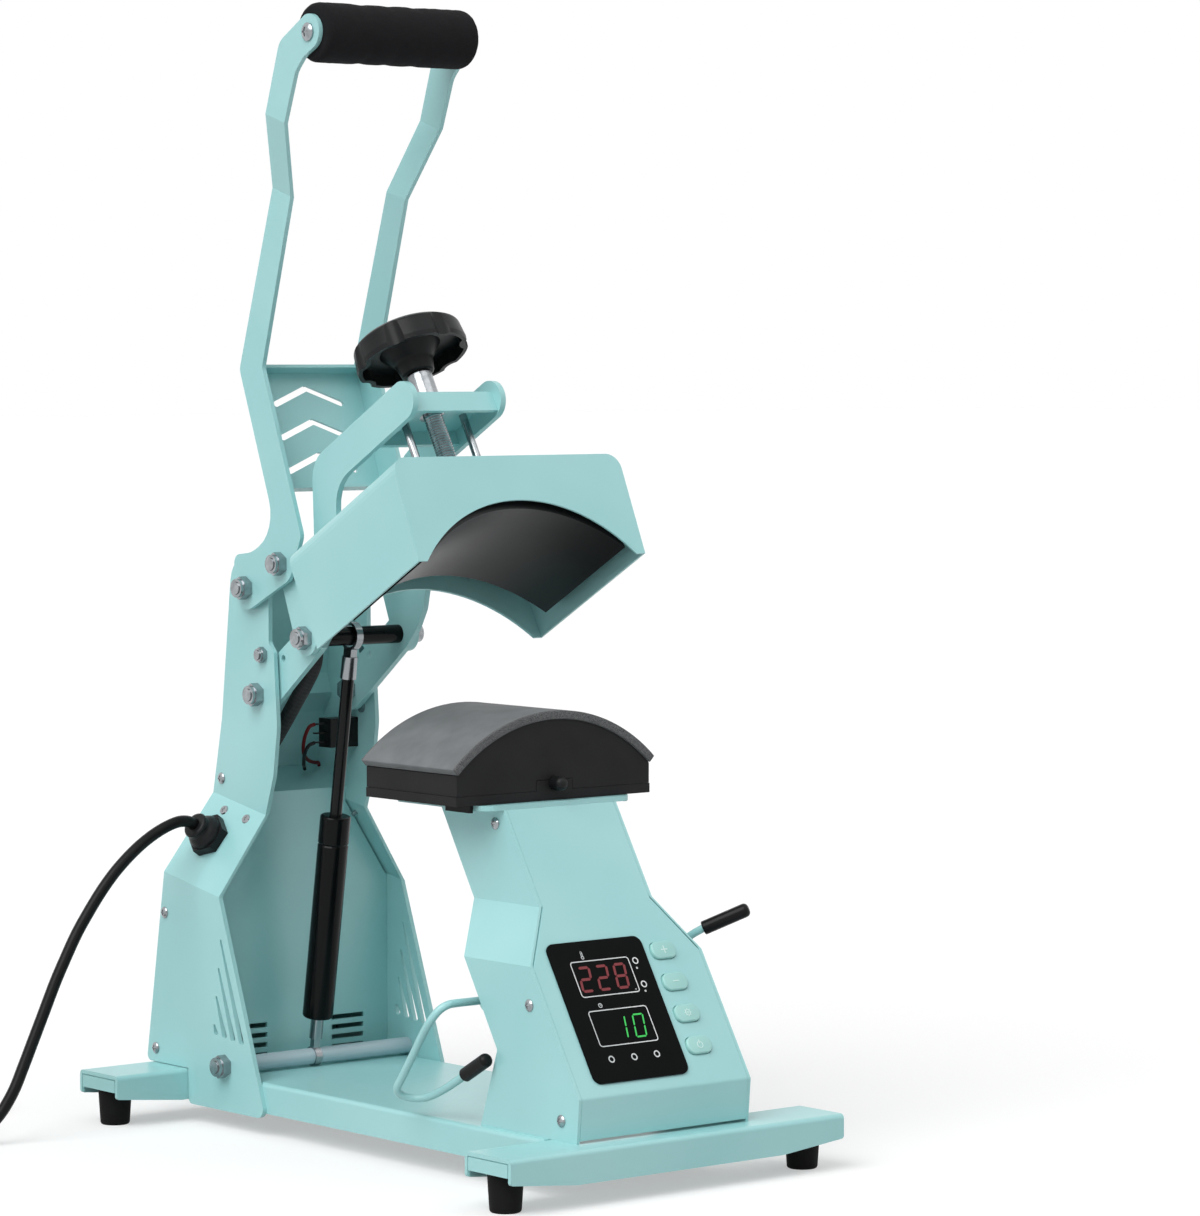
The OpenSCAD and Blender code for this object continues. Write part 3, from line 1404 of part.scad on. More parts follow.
centred() front_crossbar();
centred() rear_crossbar();
centred() base_rail();
centred() rubber_feet();
centred() tower_left_wall();
centred() tower_right_wall();
centred() compartment_panel();
centred() rear_cover();
centred() power_board();
centred() spring_shaft();
centred() spring_shaft_sleeve();
centred() tower_pivot_bolts();
centred() stop_bolts();
centred() pedestal_left_side();
centred() pedestal_right_side();
centred() pedestal_front_panel();
centred() pedestal_top_plate();
centred() display_window();
centred() control_board();
centred() plus_button();
centred() minus_button();
centred() set_button();
centred() power_button();
centred() switch_housing();
centred() switch_rocker();
centred() switch_wires();
centred() cable_gland();
centred() power_cord();
centred() cord_coil();
centred() mains_plug();
centred() panel_screws();
centred() hold_wire_bracket();
centred() cap_hold_wire();
centred() hold_wire_caps();
centred() platen_tray();
centred() platen_core();
centred() silicone_pad();
centred() platen_lock_screw();
centred() left_head_arm();
centred() right_head_arm();
centred() arm_cross_bar();
centred() cross_tube();
centred() bush_and_stud();
centred() left_toggle_link();
centred() right_toggle_link();
centred() left_handle_arm();
centred() right_handle_arm();
centred() handle_cross_panel();
centred() grip_rod();
centred() foam_grip();
centred() handle_link_bolts();
centred() gas_spring_cylinder();
centred() gas_spring_rod();
centred() head_cover();
centred() heated_platen();
centred() head_top_plate();
centred() guide_rods();
centred() pressure_screw();
centred() star_knob();
centred() heater_cable();
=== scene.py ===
import json
import math

import bmesh
import bpy
from mathutils import Matrix, Vector


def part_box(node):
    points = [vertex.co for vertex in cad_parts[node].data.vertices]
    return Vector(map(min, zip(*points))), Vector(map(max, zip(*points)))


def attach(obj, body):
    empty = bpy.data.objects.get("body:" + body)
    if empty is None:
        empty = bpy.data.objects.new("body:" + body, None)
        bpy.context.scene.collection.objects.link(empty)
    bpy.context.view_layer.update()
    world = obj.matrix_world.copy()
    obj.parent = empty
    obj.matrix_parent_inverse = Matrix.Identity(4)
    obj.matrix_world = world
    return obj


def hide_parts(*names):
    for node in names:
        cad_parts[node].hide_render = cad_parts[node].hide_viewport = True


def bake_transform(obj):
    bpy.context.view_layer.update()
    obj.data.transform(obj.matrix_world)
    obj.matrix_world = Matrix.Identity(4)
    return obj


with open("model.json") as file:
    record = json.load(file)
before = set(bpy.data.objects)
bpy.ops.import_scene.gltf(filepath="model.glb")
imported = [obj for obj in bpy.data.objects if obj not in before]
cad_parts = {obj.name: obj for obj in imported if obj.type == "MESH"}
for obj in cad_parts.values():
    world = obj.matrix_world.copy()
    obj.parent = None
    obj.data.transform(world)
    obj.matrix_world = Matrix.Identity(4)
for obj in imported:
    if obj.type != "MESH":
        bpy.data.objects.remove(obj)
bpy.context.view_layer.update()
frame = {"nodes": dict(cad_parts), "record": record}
print("frame loaded:", len(frame["nodes"]), "parts")


# ---- the photographer's place, light and floor ----

shot = {
    "cameraPlace": (-1.787, -2.305, 0.496),
    "turnDeg": -39.66,
    "lookDownDeg": 3.09,
    "focalMm": 138.02,
    "frameHeightMm": 36.0,
    "farthest": 60,
    "worldLevel": 0.35,
    "keyPower": 2.36,
    "keyDirection": (0.66, 0.18, -0.73),
    "fillPower": 0.47,
    "fillDirection": (-0.2, 0.55, -0.8),
    "lampSoftDeg": 50,
    "floorSize": 60,
    "floorWhite": 0.6,
    "floorLift": 0.42,
}


def placeCamera():
    eye = bpy.data.cameras.new("pressCamera")
    eye.sensor_fit = "VERTICAL"
    eye.sensor_height = shot["frameHeightMm"]
    eye.lens = shot["focalMm"]
    eye.clip_end = shot["farthest"]
    holder = bpy.data.objects.new("pressCamera", eye)
    holder.location = shot["cameraPlace"]
    holder.rotation_euler = (
        math.radians(90 - shot["lookDownDeg"]), 0, math.radians(shot["turnDeg"]))
    bpy.context.scene.collection.objects.link(holder)
    bpy.context.scene.camera = holder


class Wire:
    # one output of a node, which the operators below work on
    def __init__(self, recipe, end):
        self.recipe = recipe
        self.end = end

    def combine(self, operation, first, second):
        return self.recipe.node(
            "ShaderNodeMath", {"operation": operation}, {0: first, 1: second})

    def __add__(self, other):
        return self.combine("ADD", self, other)

    def __radd__(self, other):
        return self.combine("ADD", other, self)

    def __sub__(self, other):
        return self.combine("SUBTRACT", self, other)

    def __rsub__(self, other):
        return self.combine("SUBTRACT", other, self)

    def __mul__(self, other):
        return self.combine("MULTIPLY", self, other)

    def __rmul__(self, other):
        return self.combine("MULTIPLY", other, self)

    def __lt__(self, other):
        return self.combine("LESS_THAN", self, other)

    def __gt__(self, other):
        return self.combine("GREATER_THAN", self, other)


class Recipe:
    # a material, or the world, that is being mixed from nodes
    def __init__(self, name, owner=None):
        self.owner = owner or bpy.data.materials.new(name)
        self.owner.use_nodes = True
        self.tree = self.owner.node_tree
        self.tree.nodes.clear()

    def node(self, kind, settings=None, sockets=None, out=0):
        made = self.tree.nodes.new(kind)
        for name, value in (settings or {}).items():
            if name == "stops":
                self.setStops(made.color_ramp, value)
            else:
                setattr(made, name, value)
        for name, value in (sockets or {}).items():
            if isinstance(value, Wire):
                self.tree.links.new(value.end, made.inputs[name])
            else:
                made.inputs[name].default_value = value
        return Wire(self, made.outputs[out]) if made.outputs else None

    def setStops(self, ramp, stops):
        while len(ramp.elements) > 1:
            ramp.elements.remove(ramp.elements[0])
        ramp.elements[0].position = stops[0][0]
        ramp.elements[0].color = stops[0][1]
        for place, colour in stops[1:]:
            ramp.elements.new(place).color = colour

    def place(self):
        return self.node("ShaderNodeTexCoord", out="Object")

    def axes(self):
        split = self.node("ShaderNodeSeparateXYZ", sockets={0: self.place()})
        return [Wire(self, end) for end in split.end.node.outputs]

    def noise(self, scale, detail=3.0, roughness=0.5, at=None):
        return self.node("ShaderNodeTexNoise", sockets={
            "Vector": at or self.place(), "Scale": scale,
            "Detail": detail, "Roughness": roughness})

    def range(self, value, low, high, toLow, toHigh):
        return self.node("ShaderNodeMapRange", {"clamp": True}, {
            "Value": value, "From Min": low, "From Max": high,
            "To Min": toLow, "To Max": toHigh})

    def mix(self, share, first, second):
        return self.node("ShaderNodeMix", {"data_type": "RGBA"}, {
            0: share, 6: first, 7: second}, out=2)

    def larger(self, first, second):
        return self.node("ShaderNodeMath", {"operation": "MAXIMUM"}, {0: first, 1: second})

    def bump(self, height, distance, strength):
        return self.node("ShaderNodeBump", sockets={
            "Height": height, "Distance": distance, "Strength": strength})

    def surface(self, **sockets):
        named = {name.replace("_", " "): value for name, value in sockets.items()}
        return self.node("ShaderNodeBsdfPrincipled", sockets=named)

    def finish(self, shader):
        self.node("ShaderNodeOutputMaterial", sockets={"Surface": shader})
        return self.owner


def rgb(red, green, blue):
    # a colour as a screen shows it, 0 to 255, in the units that nodes take
    def linear(value):
        share = value / 255
        return share / 12.92 if share <= 0.04045 else ((share + 0.055) / 1.055) ** 2.4
    return (linear(red), linear(green), linear(blue), 1.0)


white = (1, 1, 1, 1)


def seenDirectly(recipe):
    # 1 for the rays that show a thing itself, 0 for those that only light it
    ends = recipe.node("ShaderNodeLightPath").end.node.outputs
    camera, glossy, through = (
        Wire(recipe, ends[name])
        for name in ("Is Camera Ray", "Is Glossy Ray", "Is Transmission Ray"))
    return recipe.larger(recipe.larger(camera, glossy), through)


def lightStudio():
    world = bpy.data.worlds.new("studioAir")
    bpy.context.scene.world = world
    recipe = Recipe("studioAir", world)
    soft = recipe.node("ShaderNodeBackground", sockets={
        "Color": white, "Strength": shot["worldLevel"]})
    backdrop = recipe.node("ShaderNodeBackground", sockets={"Color": white, "Strength": 1.0})
    pick = recipe.node("ShaderNodeMixShader", sockets={
        0: seenDirectly(recipe), 1: soft, 2: backdrop})
    recipe.node("ShaderNodeOutputWorld", sockets={"Surface": pick})
    for name, power, direction in (
            ("keyLamp", shot["keyPower"], shot["keyDirection"]),
            ("fillLamp", shot["fillPower"], shot["fillDirection"])):
        lamp = bpy.data.lights.new(name, "SUN")
        lamp.energy = power
        lamp.angle = math.radians(shot["lampSoftDeg"])
        holder = bpy.data.objects.new(name, lamp)
        holder.rotation_euler = Vector(direction).to_track_quat("-Z", "Y").to_euler()
        bpy.context.scene.collection.objects.link(holder)
    bpy.context.scene.view_settings.view_transform = "Standard"


def layFloor():
    recipe = Recipe("paleFloor")
    pale = shot["floorWhite"]
    matt = recipe.node("ShaderNodeBsdfDiffuse", sockets={"Color": (pale, pale, pale, 1)})
    glow = recipe.node("ShaderNodeEmission", sockets={
        "Color": white, "Strength": seenDirectly(recipe) * shot["floorLift"]})
    both = recipe.node("ShaderNodeAddShader", sockets={0: matt, 1: glow})
    bpy.ops.mesh.primitive_plane_add(size=shot["floorSize"], location=(0, 0, 0))
    floor = bpy.context.object
    floor.name = "paleFloor"
    floor.data.materials.append(recipe.finish(both))


placeCamera()
lightStudio()
layFloor()
print("camera, lights and floor are in place")


# ---- finishes ----

powderPaint = {
    "lightMint": rgb(162, 212, 213), "deepMint": rgb(153, 207, 208),
    "roughness": 0.33, "roughnessSpread": 0.10, "gloss": 0.7,
    "cloudsPerMetre": 9, "peelPerMetre": 950, "coarsePerMetre": 160,
    "coarseShare": 1.5, "peelDepth": 0.00005, "peelStrength": 0.55,
}


def mixPowderPaint(name, light, deep):
    # baked powder paint: a fine orange peel and slow changes of shade
    made = powderPaint
    recipe = Recipe(name)
    cloudy = recipe.noise(made["cloudsPerMetre"], 2)
    peel = recipe.noise(made["peelPerMetre"], 2, 0.45)
    coarse = recipe.noise(made["coarsePerMetre"], 2)
    colour = recipe.mix(recipe.range(cloudy, 0.35, 0.65, 0, 1), light, deep)
    return recipe.finish(recipe.surface(
        Base_Color=colour, Specular_IOR_Level=made["gloss"],
        Roughness=made["roughness"] + (coarse - 0.5) * made["roughnessSpread"],
        Normal=recipe.bump(
            peel + coarse * made["coarseShare"], made["peelDepth"], made["peelStrength"])))


zincPlating = {
    "light": rgb(172, 176, 179), "dull": rgb(142, 147, 150),
    "roughness": 0.15, "roughnessSpread": 0.14,
    "hazePerMetre": 220, "marksPerMetre": 2600, "markDepth": 0.00002, "markStrength": 0.35,
}


def mixZinc():
    # bright zinc plating with fine turning marks and a faint haze
    made = zincPlating
    recipe = Recipe("brightZinc")
    haze = recipe.noise(made["hazePerMetre"], 3)
    marks = recipe.noise(made["marksPerMetre"], 1)
    colour = recipe.mix(recipe.range(haze, 0.3, 0.7, 0, 1), made["light"], made["dull"])
    return recipe.finish(recipe.surface(
        Base_Color=colour, Metallic=1.0,
        Roughness=made["roughness"] + haze * made["roughnessSpread"],
        Normal=recipe.bump(marks, made["markDepth"], made["markStrength"])))


moulded = {
    "dustGain": 1.7, "dustBase": 0.002, "dustShare": 0.6, "dustPerMetre": 30,
    "roughnessSpread": 0.16, "grainStrength": 0.6,
}


def mixMoulded(name, colour, roughness, grain, depth, gloss=0.22):
    # moulded plastic or rubber with a spark-eroded grain and a little dust
    made = moulded
    recipe = Recipe(name)
    fine = recipe.noise(grain, 2, 0.6)
    slow = recipe.noise(made["dustPerMetre"], 2)
    dusty = tuple(
        min(part * made["dustGain"] + made["dustBase"], 1) for part in colour[:3]) + (1.0,)
    shade = recipe.mix(recipe.range(slow, 0.35, 0.75, 0, made["dustShare"]), colour, dusty)
    return recipe.finish(recipe.surface(
        Base_Color=shade, Specular_IOR_Level=gloss,
        Roughness=roughness + (fine - 0.5) * made["roughnessSpread"],
        Normal=recipe.bump(fine, depth, made["grainStrength"])))


platenPaint = {
    "dark": rgb(20, 21, 22), "fleck": rgb(42, 44, 46), "fleckShare": 0.7,
    "fleckPerMetre": 3800, "wipePerMetre": 24, "roughness": 0.27, "roughnessSpread": 0.12,
    "gloss": 0.27, "depth": 0.00003, "strength": 0.4,
}


def mixPlatenCoating():
    # dark non-stick coating on cast aluminium, a little pearly
    made = platenPaint
    recipe = Recipe("platenCoating")
    fleck = recipe.noise(made["fleckPerMetre"], 1)
    wipe = recipe.noise(made["wipePerMetre"], 3)
    colour = recipe.mix(
        recipe.range(fleck, 0.55, 0.75, 0, made["fleckShare"]), made["dark"], made["fleck"])
    return recipe.finish(recipe.surface(
        Base_Color=colour, Specular_IOR_Level=made["gloss"],
        Roughness=made["roughness"] + wipe * made["roughnessSpread"],
        Normal=recipe.bump(fleck + wipe, made["depth"], made["strength"])))


enamelPaint = {
    "dark": rgb(11, 12, 13), "pale": rgb(16, 17, 18), "gloss": 0.12,
    "dustPerMetre": 1400, "slowPerMetre": 50, "roughness": 0.12, "roughnessSpread": 0.08,
    "depth": 0.00002, "strength": 0.3,
}


def mixGlossEnamel():
    # the stove enamel of the cross tube
    made = enamelPaint
    recipe = Recipe("glossEnamel")
    dust = recipe.noise(made["dustPerMetre"], 2)
    slow = recipe.noise(made["slowPerMetre"], 2)
    colour = recipe.mix(recipe.range(slow, 0.4, 0.7, 0, 1), made["dark"], made["pale"])
    return recipe.finish(recipe.surface(
        Base_Color=colour, Specular_IOR_Level=made["gloss"],
        Roughness=made["roughness"] + dust * made["roughnessSpread"],
        Normal=recipe.bump(dust, made["depth"], made["strength"])))


drawnTube = {
    "light": rgb(186, 205, 212), "deep": rgb(168, 190, 199), "stretch": 0.03,
    "linesPerMetre": 700, "roughness": 0.33, "roughnessSpread": 0.1,
    "depth": 0.00003, "strength": 0.5,
}


def mixPaleSleeve():
    # the pale tube over the lower shaft, drawn plastic with lengthwise lines
    made = drawnTube
    recipe = Recipe("paleSleeve")
    across = recipe.axes()
    stretched = recipe.node("ShaderNodeCombineXYZ", sockets={
        0: across[0] * made["stretch"], 1: across[1], 2: across[2]})
    lines = recipe.noise(made["linesPerMetre"], 2, at=stretched)
    colour = recipe.mix(lines, made["light"], made["deep"])
    return recipe.finish(recipe.surface(
        Base_Color=colour, Roughness=made["roughness"] + lines * made["roughnessSpread"],
        Normal=recipe.bump(lines, made["depth"], made["strength"])))


foam = {
    # the pore colour is painted shade: the near-black put into the pores and fold hollows
    "poreShade": rgb(9, 9, 10), "wall": rgb(31, 31, 33), "poreShadeShare": 0.6, "foldShadeShare": 0.4,
    "cellsPerMetre": 1500.0, "foldsPerMetre": 120, "roughness": 0.94, "gloss": 0.15,
    "poreHeight": 0.5, "foldHeight": 1.6, "depth": 0.0004, "strength": 0.8,
}


def mixFoam():
    # closed-cell foam: small pores over soft folds, with painted shade: the colour darkens into
    # the pores and the low parts of the folds, as the bump does
    made = foam
    recipe = Recipe("gripFoam")
    cells = recipe.node("ShaderNodeTexVoronoi", {"feature": "F1"}, {
        "Vector": recipe.place(), "Scale": made["cellsPerMetre"]}, out="Distance")
    folds = recipe.noise(made["foldsPerMetre"], 4, 0.6)
    pores = recipe.range(cells, 0.0, 0.45, 0, 1)
    # painted shade: darker in the pores and the low folds, following the bump height
    colour = recipe.mix(
        pores * made["poreShadeShare"] + folds * made["foldShadeShare"], made["poreShade"], made["wall"])
    return recipe.finish(recipe.surface(
        Base_Color=colour, Roughness=made["roughness"], Specular_IOR_Level=made["gloss"],
        Normal=recipe.bump(pores * made["poreHeight"] + folds * made["foldHeight"],
                           made["depth"], made["strength"])))


siliconePaint = {
    "frontEnd": -0.1075, "rearEnd": -0.0145, "edgeWidth": 0.0012,
    "light": rgb(120, 123, 125), "deep": rgb(108, 111, 113),
    # the cell colour is painted shade: the dark grey put into the sponge's open cells
    "cellShade": rgb(52, 53, 54), "wall": rgb(128, 130, 131),
    "spongePerMetre": 2300, "skinPerMetre": 60, "roughness": 0.55, "cutRougher": 0.35,
    "gloss": 0.3, "skinRelief": 0.06, "depth": 0.0003, "strength": 0.7,
}


def mixSilicone():
    # a smooth grey skin, with open sponge on the cut ends, whose cells carry painted shade: darker
    # where the sponge bump sinks
    made = siliconePaint
    recipe = Recipe("greySilicone")
    across = recipe.axes()
    front = across[1] < made["frontEnd"] + made["edgeWidth"]
    rear = across[1] > made["rearEnd"] - made["edgeWidth"]
    cut = recipe.larger(front, rear)
    sponge = recipe.noise(made["spongePerMetre"], 3, 0.75)
    skin = recipe.noise(made["skinPerMetre"], 3)
    smooth = recipe.mix(recipe.range(skin, 0.35, 0.7, 0, 1), made["deep"], made["light"])
    # painted shade: the open cells are darkened where the bump is low
    porous = recipe.mix(recipe.range(sponge, 0.4, 0.62, 0, 1), made["cellShade"], made["wall"])
    return recipe.finish(recipe.surface(
        Base_Color=recipe.mix(cut, smooth, porous), Specular_IOR_Level=made["gloss"],
        Roughness=made["roughness"] + cut * made["cutRougher"],
        Normal=recipe.bump(
            sponge * (made["skinRelief"] + cut), made["depth"], made["strength"])))


displayPaint = {
    "black": rgb(5, 7, 7), "wiped": rgb(9, 11, 11), "wipesPerMetre": 70,
    "roughness": 0.14, "roughnessSpread": 0.12, "gloss": 0.05,
    "depth": 0.00002, "strength": 0.3,
}


def mixDisplayFilm():
    # hard black film over the display, a little wiped
    made = displayPaint
    recipe = Recipe("displayFilm")
    wipe = recipe.noise(made["wipesPerMetre"], 4, 0.6)
    colour = recipe.mix(wipe, made["black"], made["wiped"])
    return recipe.finish(recipe.surface(
        Base_Color=colour, Specular_IOR_Level=made["gloss"],
        Roughness=made["roughness"] + wipe * made["roughnessSpread"],
        Normal=recipe.bump(wipe, made["depth"], made["strength"])))


boardPaint = {
    "lacquer": rgb(16, 84, 52), "otherLacquer": rgb(20, 96, 58), "track": rgb(44, 128, 78),
    "tracksPerMetre": 190.0, "trackWidth": 0.03, "grainPerMetre": 900,
    "roughness": 0.28, "roughnessSpread": 0.2, "depth": 0.00005, "strength": 0.4,
}


def mixCircuitBoard():
    # green lacquer over copper tracks
    made = boardPaint
    recipe = Recipe("circuitBoard")
    tracks = recipe.node("ShaderNodeTexBrick", None, {
        "Vector": recipe.place(), "Scale": made["tracksPerMetre"],
        "Mortar Size": made["trackWidth"], "Color1": made["lacquer"],
        "Color2": made["otherLacquer"], "Mortar": made["track"]})
    grain = recipe.noise(made["grainPerMetre"], 2)
    return recipe.finish(recipe.surface(
        Base_Color=tracks, Roughness=made["roughness"] + grain * made["roughnessSpread"],
        Normal=recipe.bump(grain, made["depth"], made["strength"])))


litPaint = {
    "dimmer": 0.62, "unevenPerMetre": 500, "roughness": 0.3, "depth": 0.00001, "strength": 0.2,
}


def mixLitSign(name, colour, strength, base):
    # a lit mark: the colour glows a little unevenly behind its film
    made = litPaint
    recipe = Recipe(name)
    uneven = recipe.noise(made["unevenPerMetre"], 2)
    dim = tuple(part * made["dimmer"] for part in colour[:3]) + (1.0,)
    return recipe.finish(recipe.surface(
        Base_Color=base, Roughness=made["roughness"],
        Emission_Color=recipe.mix(uneven, colour, dim), Emission_Strength=strength,
        Normal=recipe.bump(uneven, made["depth"], made["strength"])))


maskedPaint = {"finePerMetre": 1500, "roughnessSpread": 0.1, "depth": 0.00003, "strength": 0.4}


def mixMasked(name, split, first, second, roughness, metallic, gloss=0.5):
    # two finishes on one part, told apart by where a point lies
    made = maskedPaint
    recipe = Recipe(name)
    mask = split(recipe)
    fine = recipe.noise(made["finePerMetre"], 2)
    fromFirst, toSecond = roughness
    return recipe.finish(recipe.surface(
        Base_Color=recipe.mix(mask, first, second), Metallic=mask * metallic,
        Specular_IOR_Level=gloss,
        Roughness=(fromFirst + mask * (toSecond - fromFirst)
                   + (fine - 0.5) * made["roughnessSpread"]),
        Normal=recipe.bump(fine, made["depth"], made["strength"])))


braid = {
    "tubeLength": 0.25, "turnsPerMetre": 150.0, "strandsAround": 12.0,
    # the gap colour is painted shade: the dark colour put where the strands dip
    "gap": rgb(16, 16, 17), "strand": rgb(46, 46, 48), "weaveShadeShare": 0.7, "fuzzShare": 0.3,
    "fuzzPerMetre": 1800, "roughness": 0.72, "depth": 0.0003, "strength": 0.8,
}


def mixBraid():
    # a braided sleeve: two sets of strands that cross, laid along the tube, with painted shade:
    # the colour darkens where the weave's bump is low
    made = braid
    recipe = Recipe("braidedSleeve")
    flat = recipe.node("ShaderNodeUVMap", {"uv_map": "UVMap"})
    split = recipe.node("ShaderNodeSeparateXYZ", sockets={0: flat})
    along, around = (Wire(recipe, end) for end in list(split.end.node.outputs)[:2])
    turns = along * (made["tubeLength"] * made["turnsPerMetre"])
    across = around * made["strandsAround"]
    waves = [recipe.node("ShaderNodeMath", {"operation": "SINE"}, {0: angle * (2 * math.pi)})
             for angle in (turns + across, turns - across)]
    strands = waves[0] * waves[1] * 0.5 + 0.5
    fuzz = recipe.noise(made["fuzzPerMetre"], 2)
    # painted shade: darker where the weave is low, following the bump
    colour = recipe.mix(
        strands * made["weaveShadeShare"] + fuzz * made["fuzzShare"], made["gap"], made["strand"])
    return recipe.finish(recipe.surface(
        Base_Color=colour, Roughness=made["roughness"],
        Normal=recipe.bump(
            strands + fuzz * made["fuzzShare"], made["depth"], made["strength"])))


mintPaint = mixPowderPaint("mintPowderPaint", powderPaint["lightMint"], powderPaint["deepMint"])
mintKeys = mixPowderPaint("mintKeyPlastic", rgb(160, 211, 206), rgb(152, 205, 200))
brightZinc = mixZinc()
blackPlastic = mixMoulded("blackPlastic", rgb(22, 23, 24), 0.36, 2600, 0.00005, 0.16)
leadVinyl = mixMoulded("leadVinyl", rgb(15, 15, 16), 0.34, 1800, 0.00003, 0.14)
dippedVinyl = mixMoulded("dippedVinyl", rgb(14, 14, 15), 0.3, 900, 0.00003, 0.14)
footRubber = mixMoulded("footRubber", rgb(19, 19, 19), 0.7, 1500, 0.00008, 0.1)
coreEnamel = mixMoulded("coreEnamel", rgb(25, 25, 26), 0.55, 3200, 0.00008, 0.16)
glossEnamel = mixGlossEnamel()
platenCoating = mixPlatenCoating()
paleSleeve = mixPaleSleeve()
gripFoam = mixFoam()
greySilicone = mixSilicone()
displayFilm = mixDisplayFilm()
circuitBoard = mixCircuitBoard()
redRocker = mixMoulded("redRocker", rgb(176, 24, 20), 0.28, 1200, 0.00003)
redWire = mixMoulded("redWire", rgb(98, 15, 18), 0.45, 1500, 0.00003)
blackWire = mixMoulded("blackWire", rgb(25, 25, 27), 0.45, 1500, 0.00003)
litRed = mixLitSign("litRed", rgb(150, 10, 30), 0.62, rgb(40, 4, 8))
litGreen = mixLitSign("litGreen", rgb(50, 232, 96), 0.85, rgb(8, 50, 20))
printedWhite = mixMoulded("printedWhite", rgb(205, 211, 212), 0.5, 2000, 0.00002)
keyPrint = mixMoulded("keyPrint", rgb(208, 236, 232), 0.45, 1500, 0.00002)
braidedSleeve = mixBraid()

gasSpring = {
    "foot": (0.137, 0.041), "lean": (-0.1523, 0.9883), "cylinderLow": 0.026, "rodHigh": 0.2511,
    "eye": rgb(150, 155, 158), "cylinder": rgb(11, 12, 13), "rod": rgb(20, 21, 22),
    "roughness": (0.14, 0.22), "cylinderGloss": 0.12, "rodGloss": 0.16,
}


def alongSpring(recipe):
    # how far a point lies along the gas spring from its lower eye
    across = recipe.axes()
    foot, lean = gasSpring["foot"], gasSpring["lean"]
    return (across[1] - foot[0]) * lean[0] + (across[2] - foot[1]) * lean[1]


cylinderFinish = mixMasked(
    "springCylinder", lambda recipe: alongSpring(recipe) < gasSpring["cylinderLow"],
    gasSpring["cylinder"], gasSpring["eye"], gasSpring["roughness"], 1.0,
    gasSpring["cylinderGloss"])
rodFinish = mixMasked(
    "springRod", lambda recipe: alongSpring(recipe) > gasSpring["rodHigh"],
    gasSpring["rod"], gasSpring["eye"], gasSpring["roughness"], 1.0, gasSpring["rodGloss"])

plugFinish = {
    "bladesFromX": -0.1775, "body": rgb(23, 23, 25), "brass": rgb(214, 178, 96),
    "roughness": (0.45, 0.25),
}
plugBrass = mixMasked(
    "plugPlasticAndBrass", lambda recipe: recipe.axes()[0] > plugFinish["bladesFromX"],
    plugFinish["body"], plugFinish["brass"], plugFinish["roughness"], 1.0)

partFinish = {
    "mint_powder_coat": mintPaint, "mint_button": mintKeys, "black_plastic": blackPlastic,
    "black_vinyl": dippedVinyl, "black_enamel": glossEnamel, "coated_aluminium": platenCoating,
    "bright_zinc": brightZinc, "pale_blue_tube": paleSleeve, "black_rubber": footRubber,
    "black_foam": gripFoam, "grey_silicone": greySilicone, "black_display": displayFilm,
    "circuit_board": circuitBoard, "red_rocker": redRocker, "wire_insulation": redWire,
    "cable_sleeve": leadVinyl,
}
ownFinish = {
    "platen_core": coreEnamel, "platen_tray": coreEnamel, "mains_plug": plugBrass,
    "gas_spring_cylinder": cylinderFinish, "gas_spring_rod": rodFinish,
}


def finishParts():
    # every part of the frame takes the finish of its slot, or its own
    for part in frame["record"]["subparts"]:
        name = part["node"]
        material = ownFinish.get(name) or partFinish[part["material_slot"]]
        mesh = frame["nodes"][name].data
        mesh.materials.clear()
        mesh.materials.append(material)


finishParts()
print("finishes are on the parts")


# ---- small helps for modelling ----

# the frame's origin in the drawing, in mm behind the feet's front edge
middleY = 226.0
mergeWithin = 0.000005


def at(x, y, z):
    # a point of the drawing, given in mm, as the frame has it in metres
    return Vector((x / 1000, (y - middleY) / 1000, z / 1000))


def clearSelection():
    for item in bpy.context.selected_objects:
        item.select_set(False)


def openForEdit(piece, kind):
    clearSelection()
    piece.select_set(True)
    bpy.context.view_layer.objects.active = piece
    bpy.ops.object.mode_set(mode="EDIT")
    bpy.ops.mesh.select_mode(type=kind)
    bpy.ops.mesh.select_all(action="DESELECT")


def choose(piece, test, kind="faces"):
    # selects the faces or edges that the test holds for, and nothing else
    mesh = bmesh.from_edit_mesh(piece.data)
    for part in getattr(mesh, kind):
        part.select_set(bool(test(part)))
    bmesh.update_edit_mesh(piece.data)


def middle(part):
    return sum((corner.co for corner in part.verts), Vector()) / len(part.verts)


def closeEdit():
    bpy.ops.object.mode_set(mode="OBJECT")


def joinPieces(pieces):
    clearSelection()
    for piece in pieces:
        piece.select_set(True)
    bpy.context.view_layer.objects.active = pieces[0]
    bpy.ops.object.join()
    return bpy.context.object


def copyPiece(piece, move):
    twin = piece.copy()
    twin.data = piece.data.copy()
    bpy.context.scene.collection.objects.link(twin)
    twin.matrix_world = Matrix.Translation(move) @ piece.matrix_world
    return twin


def applyPlace(piece):
    clearSelection()
    piece.select_set(True)
    bpy.context.view_layer.objects.active = piece
    bpy.ops.object.transform_apply(location=True, rotation=True, scale=True)


def finishPiece(piece, name, material, body, replaced=(), smoothDeg=35):
    applyPlace(piece)
    openForEdit(piece, "FACE")
    bpy.ops.mesh.select_all(action="SELECT")
    bpy.ops.mesh.remove_doubles(threshold=mergeWithin)
    bpy.ops.mesh.normals_make_consistent(inside=False)
    closeEdit()
    bpy.ops.object.shade_smooth_by_angle(angle=math.radians(smoothDeg))
    piece.name = name
    piece.data.name = name
    if material:
        piece.data.materials.clear()
        piece.data.materials.append(material)
    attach(piece, body)
    if replaced:
        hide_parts(*replaced)
    return piece


